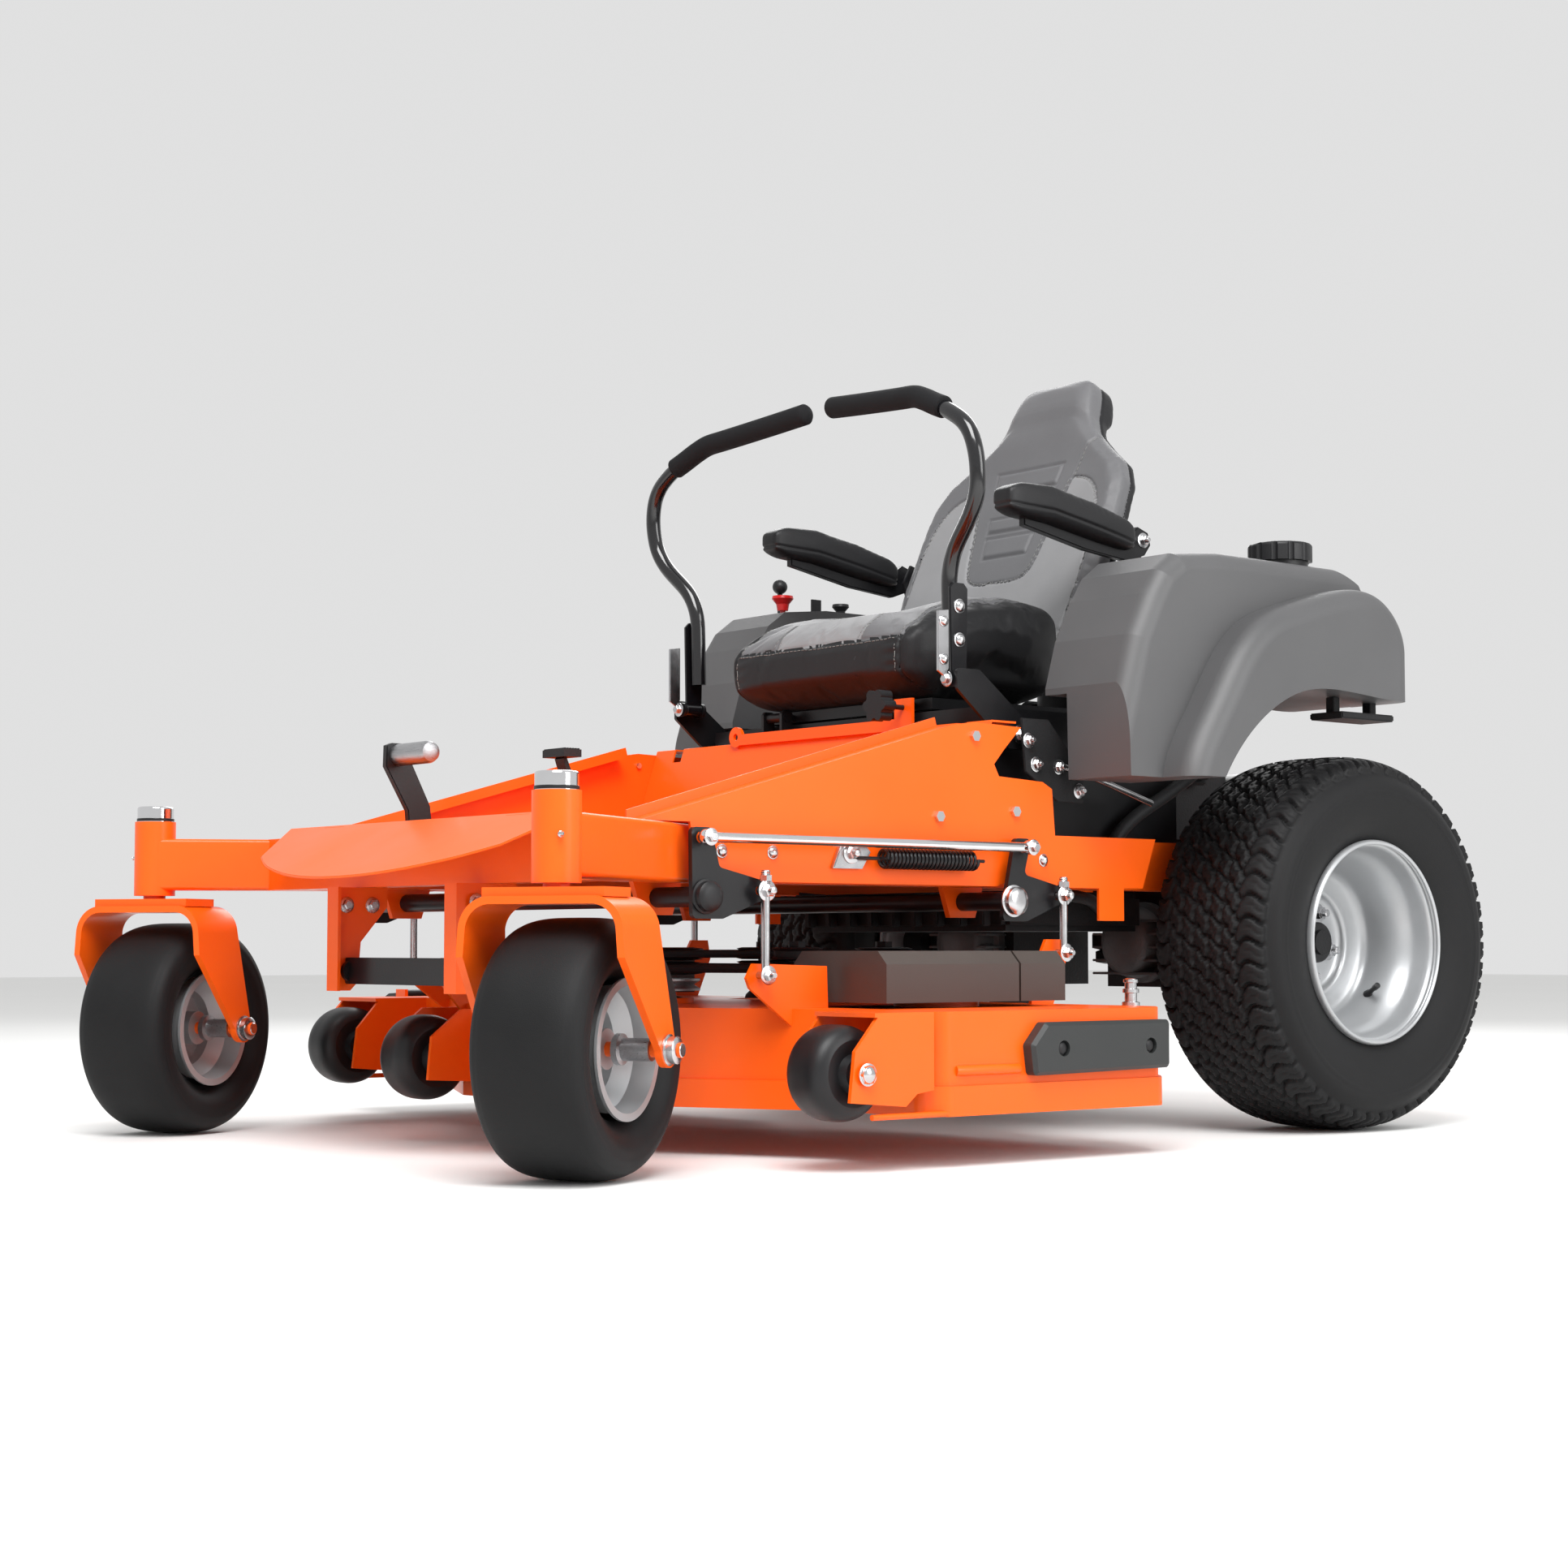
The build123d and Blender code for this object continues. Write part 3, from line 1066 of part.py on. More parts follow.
write(lift_shaft(CRANK_FRONT_Y, 0), "lift_shaft_front")
write(lift_shaft(CRANK_REAR_Y, 30), "lift_shaft_rear")
ROD_X = CRANK_X + 16
ROD_Y0, ROD_Y1 = CRANK_FRONT_Y - 8, CRANK_REAR_Y + 22
with BuildPart() as push_rods:
    for side in (-1, 1):
        with BuildSketch(Plane.XZ.offset(-ROD_Y0)):
            with Locations((side * ROD_X, CRANK_Z + CRANK_RISE)):
                Circle(7.5)
        extrude(amount=-(ROD_Y1 - ROD_Y0))
        for y in (ROD_Y0, ROD_Y1):
            with BuildSketch(Plane.YZ.offset(side * (CRANK_X + 4.6))):
                with Locations((y, CRANK_Z + CRANK_RISE)):
                    Circle(6)
            extrude(amount=side * 11.4)
            with Locations((side * ROD_X, y, CRANK_Z + CRANK_RISE)):
                Sphere(11)
write(push_rods.part, "push_rods")

HANGER_TOP = 398.0
with BuildPart() as deck_hangers:
    for side in (-1, 1):
        for y, foot in ((CRANK_FRONT_Y + CRANK_ARM, FRONT_FOOT_Z), (CRANK_REAR_Y + CRANK_ARM, REAR_FOOT_Z)):
            with BuildSketch(Plane.XY.offset(foot)):
                with Locations((side * (CRANK_X + 18), y)):
                    Circle(6)
            extrude(amount=HANGER_TOP - foot)
            with BuildSketch(Plane.YZ.offset(side * (CRANK_X + 4.6))):
                with Locations((y, CRANK_Z + 9)):
                    Circle(5)
            extrude(amount=side * 16)
            with BuildSketch(Plane.YZ.offset(side * (CRANK_X - 5))):
                with Locations((y, foot)):
                    Circle(5)
            extrude(amount=side * 28)
write(deck_hangers.part, "deck_hangers")

with BuildPart() as lift_pedal:
    with BuildSketch(Plane.YZ.offset(PEDAL_X - 5)):
        with BuildLine():
            FilletPolyline((PEDAL_Y - 16, PEDAL_Z - 16), (PEDAL_Y - 20, 500), (-1336, 566), (-1336, 598),
                           (-1300, 598), (-1304, 572), (PEDAL_Y + 12, 504), (PEDAL_Y + 16, PEDAL_Z - 16),
                           radius=6, close=True)
        make_face()
        with Locations((PEDAL_Y, PEDAL_Z)):
            Circle(PIN_FIT, mode=Mode.SUBTRACT)
    extrude(amount=10)
    with BuildSketch(Plane.YZ.offset(PEDAL_X + 5)):
        with Locations((-1318, 583)):
            Circle(14)
    extrude(amount=104)
write(lift_pedal.part, "lift_pedal")

# flat links that pull the deck from the front axle brackets
with BuildPart() as deck_links:
    for side in (-1, 1):
        with BuildSketch(Plane.YZ.offset(side * 160)):
            with BuildLine():
                Polyline((LINK_Y, LINK_Z - 16), (LINK_Y, LINK_Z + 16), (LUG_Y, LUG_Z + 16),
                         (LUG_Y, LUG_Z - 16),
                         close=True)
            make_face()
            with Locations((LINK_Y, LINK_Z), (LUG_Y, LUG_Z)):
                Circle(16)
        extrude(amount=side * 8)
        with BuildSketch(Plane.YZ.offset(side * 160)):
            with Locations((LINK_Y, LINK_Z)):
                Circle(6)
        extrude(amount=side * 24)
        with BuildSketch(Plane.YZ.offset(side * 168)):
            with Locations((LUG_Y, LUG_Z)):
                Circle(5)
        extrude(amount=-side * 26)
write(deck_links.part, "deck_links")

SPRING_R = 12.0
with BuildPart() as lift_springs:
    for side in (-1, 1):
        with BuildSketch(Plane.XZ.offset(900)):
            with Locations((side * (CRANK_X - 2), 424)):
                Circle(SPRING_R)
                Circle(SPRING_R - 3, mode=Mode.SUBTRACT)
        extrude(amount=-180)
        with BuildSketch(Plane.YZ.offset(side * SIDE_X)):
            with BuildLine():
                Polyline((-985, 404), (-965, 446), (-930, 446), (-912, 428), (-930, 404), close=True)
            make_face()
        extrude(amount=side * 8)
write(lift_springs.part, "lift_springs")

# ================= dash controls =================
with BuildPart() as pto_knob:
    with BuildSketch(Plane.XY.offset(884)):
        with Locations((CONSOLE_X, PTO_Y)):
            Circle(5)
    extrude(amount=34)
    with BuildSketch(Plane.XZ.offset(-PTO_Y)):
        with BuildLine():
            Polyline((CONSOLE_X, 908), (CONSOLE_X + 10, 908), (CONSOLE_X + 12, 920), (CONSOLE_X + 20, 930),
                     (CONSOLE_X + 19, 935), (CONSOLE_X, 935), close=True)
        make_face()
    revolve(axis=Axis((CONSOLE_X, PTO_Y, 0), (0, 0, 1)))
write(pto_knob.part, "pto_knob")
with BuildPart() as choke_knob:
    with BuildSketch(Plane.XY.offset(886)):
        with Locations((CONSOLE_X, CHOKE_Y)):
            Circle(3)
    extrude(amount=32)
    with BuildSketch(Plane.XZ.offset(-CHOKE_Y)):
        with BuildLine():
            Polyline((CONSOLE_X, 908), (CONSOLE_X + 8, 908), (CONSOLE_X + 9, 918), (CONSOLE_X + 16, 926),
                     (CONSOLE_X + 15, 931), (CONSOLE_X, 931), close=True)
        make_face()
    revolve(axis=Axis((CONSOLE_X, CHOKE_Y, 0), (0, 0, 1)))
write(choke_knob.part, "choke_knob")
with BuildPart() as ignition_key:
    with BuildSketch(Plane.XY.offset(884)):
        with Locations((CONSOLE_X, KEY_Y)):
            Circle(5)
    extrude(amount=26)
    with Locations((CONSOLE_X, KEY_Y, 922)):
        Box(4, 22, 26)
write(ignition_key.part, "ignition_key")
with BuildPart() as throttle_lever:
    with Locations((THROTTLE_X, THROTTLE_Y, THROTTLE_PIVOT_Z + 32)):
        Box(4, 9, 70)
    with BuildSketch(Plane.YZ.offset(THROTTLE_X - 4)):
        with Locations((THROTTLE_Y, THROTTLE_PIVOT_Z)):
            Circle(7)
    extrude(amount=8)
    with BuildSketch(Plane.YZ.offset(THROTTLE_X - 5)):
        with Locations((THROTTLE_Y, THROTTLE_PIVOT_Z)):
            Circle(2.55)
    extrude(amount=10, mode=Mode.SUBTRACT)
    with Locations((THROTTLE_X, THROTTLE_Y, THROTTLE_PIVOT_Z + 70)):
        Sphere(14)
write(throttle_lever.part, "throttle_lever")

with BuildPart() as star_knob:
    with BuildSketch(Plane.XZ.offset(-KNOB_Y)):
        with Locations((KNOB_X, KNOB_Z)):
            Circle(20)
            with PolarLocations(18, 6):
                Circle(8)
    extrude(amount=24)
    with BuildSketch(Plane.XZ.offset(-KNOB_Y)):
        with Locations((KNOB_X, KNOB_Z)):
            Circle(4)
    extrude(amount=-50)
write(star_knob.part, "star_knob")

with BuildPart() as brake_pedal:
    with BuildSketch(Plane.YZ.offset(BRAKE_X - 12)):
        with BuildLine():
            FilletPolyline((BRAKE_Y - 4, BRAKE_Z), (BRAKE_Y + 4, BRAKE_Z), (-1000, 560), (-1016, 596),
                           (-1022, 592),
                           (-1010, 558), radius=2, close=True)
        make_face()
        with Locations((BRAKE_Y, BRAKE_Z)):
            Circle(9)
            Circle(4.05, mode=Mode.SUBTRACT)
    extrude(amount=24)
    with Locations((BRAKE_X, -1016, 600)):
        Box(60, 34, 12)
write(brake_pedal.part, "brake_pedal")
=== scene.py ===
# Zero turn mower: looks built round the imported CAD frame. Metres, +X to the operator's left, +Y to the rear.
from math import cos, pi, radians, sin

import bmesh
import bpy
import numpy as np
from mathutils import Matrix, Vector
from mathutils.bvhtree import BVHTree
from mathutils.geometry import convex_hull_2d


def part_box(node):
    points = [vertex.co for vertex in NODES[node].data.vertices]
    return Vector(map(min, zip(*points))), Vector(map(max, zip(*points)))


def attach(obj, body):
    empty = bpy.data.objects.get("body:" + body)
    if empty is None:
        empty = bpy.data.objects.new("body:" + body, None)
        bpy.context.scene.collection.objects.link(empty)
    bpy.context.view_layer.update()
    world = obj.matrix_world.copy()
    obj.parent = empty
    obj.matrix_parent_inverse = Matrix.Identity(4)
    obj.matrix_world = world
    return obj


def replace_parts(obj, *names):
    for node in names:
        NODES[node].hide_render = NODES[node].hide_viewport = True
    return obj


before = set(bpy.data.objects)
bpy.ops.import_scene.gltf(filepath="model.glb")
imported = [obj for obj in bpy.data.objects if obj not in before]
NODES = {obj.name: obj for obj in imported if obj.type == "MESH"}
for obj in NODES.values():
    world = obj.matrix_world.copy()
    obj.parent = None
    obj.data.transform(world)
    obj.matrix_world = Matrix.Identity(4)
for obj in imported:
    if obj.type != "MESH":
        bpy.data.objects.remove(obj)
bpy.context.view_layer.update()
MM = 0.001


def centre(node):
    low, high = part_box(node)
    return (low + high) / 2


# Pieces are placed in millimetres from the rear axle, the mid-plane and the ground, as the CAD source does.
WHEEL = centre("rear_tyre_left")
MID_X = (WHEEL.x + centre("rear_tyre_right").x) / 2
AXLE_Y = WHEEL.y


def at(x, y, z):
    """A place in millimetres from the rear axle, as a point of the row frame."""
    return Vector((MID_X + x * MM, AXLE_Y + y * MM, z * MM))


# ---------------------------------------------------------------- materials
def node_material(name):
    material = bpy.data.materials.new(name)
    material.use_nodes = True
    tree = material.node_tree
    shader = tree.nodes["Principled BSDF"]
    return material, tree, shader


def add_node(tree, kind, **values):
    """A node with its properties or inputs set by name."""
    node = tree.nodes.new(kind)
    for key, value in values.items():
        if hasattr(node, key):
            setattr(node, key, value)
        else:
            node.inputs[key.replace("_", " ")].default_value = value
    return node


def object_space(tree, scale=(1, 1, 1)):
    coords = tree.nodes.new("ShaderNodeTexCoord")
    mapping = add_node(tree, "ShaderNodeMapping", Scale=scale)
    tree.links.new(coords.outputs["Object"], mapping.inputs["Vector"])
    return mapping.outputs["Vector"]


def ramp(tree, source, stops):
    node = tree.nodes.new("ShaderNodeValToRGB")
    while len(node.color_ramp.elements) < len(stops):
        node.color_ramp.elements.new(0.5)
    for element, (place, colour) in zip(node.color_ramp.elements, stops):
        element.position = place
        element.color = colour if len(colour) == 4 else (*colour, 1)
    tree.links.new(source, node.inputs["Fac"])
    return node.outputs["Color"]


def grey(value):
    return (value, value, value)


def shade(colour, factor):
    return tuple(min(1.0, c * factor) for c in colour)


def surface(name, colour, rough, metal=0.0, coat=0.0, spec=0.5, mottle=(6, 0.06), grain=(400, 0.0001),
            rough_swing=0.08, dust=0.0, sheen=0.0, stretch=(1, 1, 1)):
    """A painted, moulded or metal surface: slow colour mottle, fine grain bump and uneven gloss."""
    material, tree, shader = node_material(name)
    space = object_space(tree, stretch)
    cloud = add_node(tree, "ShaderNodeTexNoise", Scale=mottle[0], Detail=5.0)
    tree.links.new(space, cloud.inputs["Vector"])
    tint = ramp(tree, cloud.outputs["Fac"],
                [(0.3, shade(colour, 1 - mottle[1])), (0.7, shade(colour, 1 + mottle[1]))])
    if dust:
        # fine grey dust that settles on what faces up
        geometry = tree.nodes.new("ShaderNodeNewGeometry")
        split = tree.nodes.new("ShaderNodeSeparateXYZ")
        tree.links.new(geometry.outputs["Normal"], split.inputs["Vector"])
        specks = add_node(tree, "ShaderNodeTexNoise", Scale=26.0, Detail=8.0, Roughness=0.7)
        tree.links.new(space, specks.inputs["Vector"])
        amount = add_node(tree, "ShaderNodeMath", operation="MULTIPLY", use_clamp=True)
        tree.links.new(split.outputs["Z"], amount.inputs[0])
        tree.links.new(specks.outputs["Fac"], amount.inputs[1])
        weight = add_node(tree, "ShaderNodeMath", operation="MULTIPLY", use_clamp=True)
        weight.inputs[1].default_value = dust
        tree.links.new(amount.outputs[0], weight.inputs[0])
        mix = tree.nodes.new("ShaderNodeMix")
        mix.data_type = "RGBA"
        mix.inputs[7].default_value = (0.42, 0.4, 0.37, 1)
        tree.links.new(weight.outputs[0], mix.inputs[0])
        tree.links.new(tint, mix.inputs[6])
        tint = mix.outputs[2]
    tree.links.new(tint, shader.inputs["Base Color"])
    fine = add_node(tree, "ShaderNodeTexNoise", Scale=float(grain[0]), Detail=3.0)
    tree.links.new(space, fine.inputs["Vector"])
    gloss = ramp(tree, cloud.outputs["Fac"], [(0.2, grey(max(0.02, rough - rough_swing))),
                                              (0.8, grey(min(1.0, rough + rough_swing)))])
    tree.links.new(gloss, shader.inputs["Roughness"])
    bump = add_node(tree, "ShaderNodeBump", Strength=0.5, Distance=float(grain[1]))
    tree.links.new(fine.outputs["Fac"], bump.inputs["Height"])
    tree.links.new(bump.outputs["Normal"], shader.inputs["Normal"])
    shader.inputs["Metallic"].default_value = metal
    shader.inputs["Coat Weight"].default_value = coat
    shader.inputs["Coat Roughness"].default_value = 0.12
    shader.inputs["Specular IOR Level"].default_value = spec
    if sheen:
        shader.inputs["Sheen Weight"].default_value = sheen
        shader.inputs["Sheen Roughness"].default_value = 0.5
    return material


def vinyl(name, colour, rough=0.5, pebble=900, sheen=0.1, spec=0.45):
    """Grained upholstery vinyl: pebbled cells over soft creases."""
    material, tree, shader = node_material(name)
    space = object_space(tree)
    cloud = add_node(tree, "ShaderNodeTexNoise", Scale=9.0, Detail=4.0)
    tree.links.new(space, cloud.inputs["Vector"])
    tint = ramp(tree, cloud.outputs["Fac"], [(0.3, shade(colour, 0.93)), (0.7, shade(colour, 1.07))])
    tree.links.new(tint, shader.inputs["Base Color"])
    cells = add_node(tree, "ShaderNodeTexVoronoi", Scale=float(pebble))
    tree.links.new(space, cells.inputs["Vector"])
    crease = add_node(tree, "ShaderNodeTexNoise", Scale=60.0, Detail=6.0)
    tree.links.new(space, crease.inputs["Vector"])
    small = add_node(tree, "ShaderNodeBump", Strength=0.35, Distance=0.0003)
    tree.links.new(cells.outputs["Distance"], small.inputs["Height"])
    large = add_node(tree, "ShaderNodeBump", Strength=0.3, Distance=0.0006)
    tree.links.new(crease.outputs["Fac"], large.inputs["Height"])
    tree.links.new(small.outputs["Normal"], large.inputs["Normal"])
    tree.links.new(large.outputs["Normal"], shader.inputs["Normal"])
    gloss = ramp(tree, cells.outputs["Distance"], [(0.0, grey(rough + 0.12)), (1.0, grey(rough - 0.08))])
    tree.links.new(gloss, shader.inputs["Roughness"])
    shader.inputs["Specular IOR Level"].default_value = spec
    shader.inputs["Sheen Weight"].default_value = sheen
    shader.inputs["Sheen Roughness"].default_value = 0.5
    return material


ORANGE = (0.88, 0.105, 0.002)
MAT = {
    "orange": surface("orange_coat", ORANGE, 0.36, coat=0.08, spec=0.3, mottle=(5, 0.035),
                      grain=(240, 0.0002)),
    "black": surface("black_coat", (0.007, 0.007, 0.008), 0.34, mottle=(9, 0.2), grain=(300, 0.0002),
                     spec=0.35),
    "gloss_black": surface("gloss_black", (0.004, 0.004, 0.005), 0.14, coat=0.4, grain=(120, 0.00006),
                           rough_swing=0.04),
    "moulding": surface("grey_moulding", (0.075, 0.075, 0.077), 0.47, mottle=(4, 0.08), grain=(1400, 0.0004)),
    "black_plastic": surface("black_plastic", (0.008, 0.008, 0.009), 0.4, grain=(1200, 0.0003), spec=0.35),
    "bumper": surface("bumper_grey", (0.022, 0.024, 0.024), 0.45, grain=(900, 0.0004), spec=0.4),
    "cover": surface("cover_grey", (0.045, 0.035, 0.03), 0.5, grain=(900, 0.0004), dust=0.05),
    "red": surface("red_plastic", (0.55, 0.004, 0.004), 0.28, grain=(500, 0.0001)),
    "cast": surface("cast_metal", (0.1, 0.1, 0.102), 0.55, metal=0.6, mottle=(14, 0.18), grain=(260, 0.0012),
                    dust=0.1),
    "dark": surface("dark_casting", (0.018, 0.018, 0.019), 0.6, metal=0.3, mottle=(14, 0.2),
                    grain=(260, 0.0012), spec=0.3),
    "belt": surface("belt_rubber", (0.01, 0.01, 0.011), 0.75, grain=(900, 0.0006), spec=0.25),
    "zinc": surface("zinc_plate", (0.55, 0.55, 0.56), 0.24, metal=1.0, mottle=(40, 0.05),
                    grain=(500, 0.00003), rough_swing=0.06),
    "chrome": surface("chrome_plate", (0.72, 0.72, 0.73), 0.1, metal=1.0, mottle=(20, 0.03),
                      grain=(90, 0.00002), rough_swing=0.03),
    "steel": surface("brushed_steel", (0.42, 0.42, 0.43), 0.32, metal=1.0, mottle=(50, 0.1),
                     grain=(900, 0.0002), stretch=(1, 12, 12)),
    "tyre": surface("tyre_rubber", (0.0075, 0.0075, 0.008), 0.6, mottle=(12, 0.18), grain=(700, 0.0004),
                    spec=0.22),
    "rim": surface("rim_silver", (0.43, 0.44, 0.45), 0.36, metal=0.55, coat=0.15, mottle=(10, 0.05),
                   grain=(900, 0.00015)),
    "foam": surface("grip_foam", (0.008, 0.008, 0.009), 0.8, grain=(1600, 0.0008), mottle=(40, 0.15),
                    spec=0.2),
    "vinyl_mid": vinyl("vinyl_mid_grey", (0.10, 0.10, 0.105)),
    "vinyl_light": vinyl("vinyl_light_grey", (0.21, 0.21, 0.215)),
    "vinyl_black": vinyl("vinyl_black", (0.007, 0.007, 0.008), 0.46, sheen=0.03, spec=0.3),
    "skin": vinyl("moulded_skin", (0.007, 0.007, 0.008), 0.42, pebble=1500, sheen=0.0, spec=0.35),
    "thread": surface("pale_thread", (0.2, 0.2, 0.19), 0.7, grain=(2500, 0.0004)),
}

CAD_LOOKS = {
    "orange": ["frame_rails", "front_axle", "rear_guard", "nose_plate", "foot_pan", "side_panel_left",
               "side_panel_right", "deck_shell", "caster_fork_left", "caster_fork_right"],
    "black": ["seat_platform", "lift_shaft_front", "lift_shaft_rear", "deck_links", "lever_pivot_left",
              "lever_pivot_right", "seat_pan", "muffler", "lift_springs", "lift_pedal"],
    "moulding": ["fuel_tank_left", "fuel_tank_right"],
    "black_plastic": ["fuel_cap", "engine_shroud", "star_knob", "choke_knob", "ignition_key",
                      "throttle_lever", "discharge_chute", "brake_pedal", "gauge_roller_left",
                      "gauge_roller_right", "centre_rollers"],
    "bumper": ["deck_bumper"],
    "cover": ["belt_covers"],
    "red": ["pto_knob"],
    "dark": ["engine_block", "transaxles"],
    "chrome": ["bright_hardware", "push_rods"],
    "zinc": ["deck_hangers"],
    "steel": ["blade_left", "blade_centre", "blade_right"],
    "tyre": ["front_tyre_left", "front_tyre_right", "rear_tyre_left", "rear_tyre_right"],
    "rim": ["front_rim_left", "front_rim_right", "rear_rim_left", "rear_rim_right"],
    "gloss_black": ["control_lever_left", "control_lever_right"],
    "foam": ["lever_grip_left", "lever_grip_right"],
    "vinyl_mid": ["seat_cushion", "seat_back"],
    "skin": ["armrest_left", "armrest_right"],
}
for look, names in CAD_LOOKS.items():
    for node in names:
        mesh = NODES[node].data
        mesh.materials.clear()
        mesh.materials.append(MAT[look])

# ---------------------------------------------------------------- mesh helpers
def finish_object(name, mesh, look, body, sharp=40):
    obj = bpy.data.objects.new(name, mesh)
    bpy.context.scene.collection.objects.link(obj)
    for key in ([look] if isinstance(look, str) else look):
        mesh.materials.append(MAT[key])
    mesh.shade_smooth()
    if sharp:
        mesh.set_sharp_from_angle(angle=radians(sharp))
    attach(obj, body)
    return obj


def grid_object(name, points, look, body, wrap_u=True, wrap_v=True, sharp=40):
    """A mesh from a numpy grid of points [u][v], closed round one or both ways."""
    rows, columns = points.shape[:2]
    mesh = bpy.data.meshes.new(name)
    faces = []
    for i in range(rows if wrap_u else rows - 1):
        for j in range(columns if wrap_v else columns - 1):
            k, m = (i + 1) % rows, (j + 1) % columns
            faces.append((i * columns + j, i * columns + m, k * columns + m, k * columns + j))
    mesh.from_pydata(points.reshape(-1, 3).tolist(), [], faces)
    mesh.update()
    return finish_object(name, mesh, look, body, sharp)


def wheel_matrix(node, yaw=0.0, flip=False):
    """From wheel axes (x along the axle, outboard) to the row frame."""
    turn = Matrix.Rotation(radians(yaw), 4, "Z")
    side = Matrix.Scale(-1, 4, (1, 0, 0)) if flip else Matrix.Identity(4)
    return Matrix.Translation(centre(node)) @ turn @ side


def placed(points, matrix):
    """Millimetre points in wheel or piece axes, moved to the row frame."""
    flat = points.reshape(-1, 3) * MM
    rotation, shift = np.array(matrix.to_3x3()), np.array(matrix.translation)
    return (flat @ rotation.T + shift).reshape(points.shape)


def revolved(profile, segments):
    """Points of a closed (x, r) section turned about the x axis."""
    turn = np.linspace(0, 2 * pi, segments, endpoint=False)[:, None]
    x, r = np.array(profile, float).T
    return np.stack([np.broadcast_to(x, (segments, len(x))), r * np.sin(turn), r * np.cos(turn)], axis=-1)


def smooth_line(points, count, closed=False):
    """A Catmull-Rom curve through given points, sampled evenly in parameter."""
    known = np.array(points, float)
    total = len(known) if closed else len(known) - 1
    out = []
    for step in range(count):
        t = step * total / (count if closed else count - 1)
        i = min(int(t), total - 1)
        f = t - i
        pick = [known[(i + k) % len(known)] if closed else known[min(max(i + k, 0), len(known) - 1)]
                for k in (-1, 0, 1, 2)]
        a, b, c, d = pick
        out.append(0.5 * (2 * b + (c - a) * f + (2 * a - 5 * b + 4 * c - d) * f * f
                          + (3 * b - a - 3 * c + d) * f ** 3))
    return np.array(out)


def smoothstep(low, high, value):
    t = np.clip((value - low) / (high - low), 0, 1)
    return t * t * (3 - 2 * t)


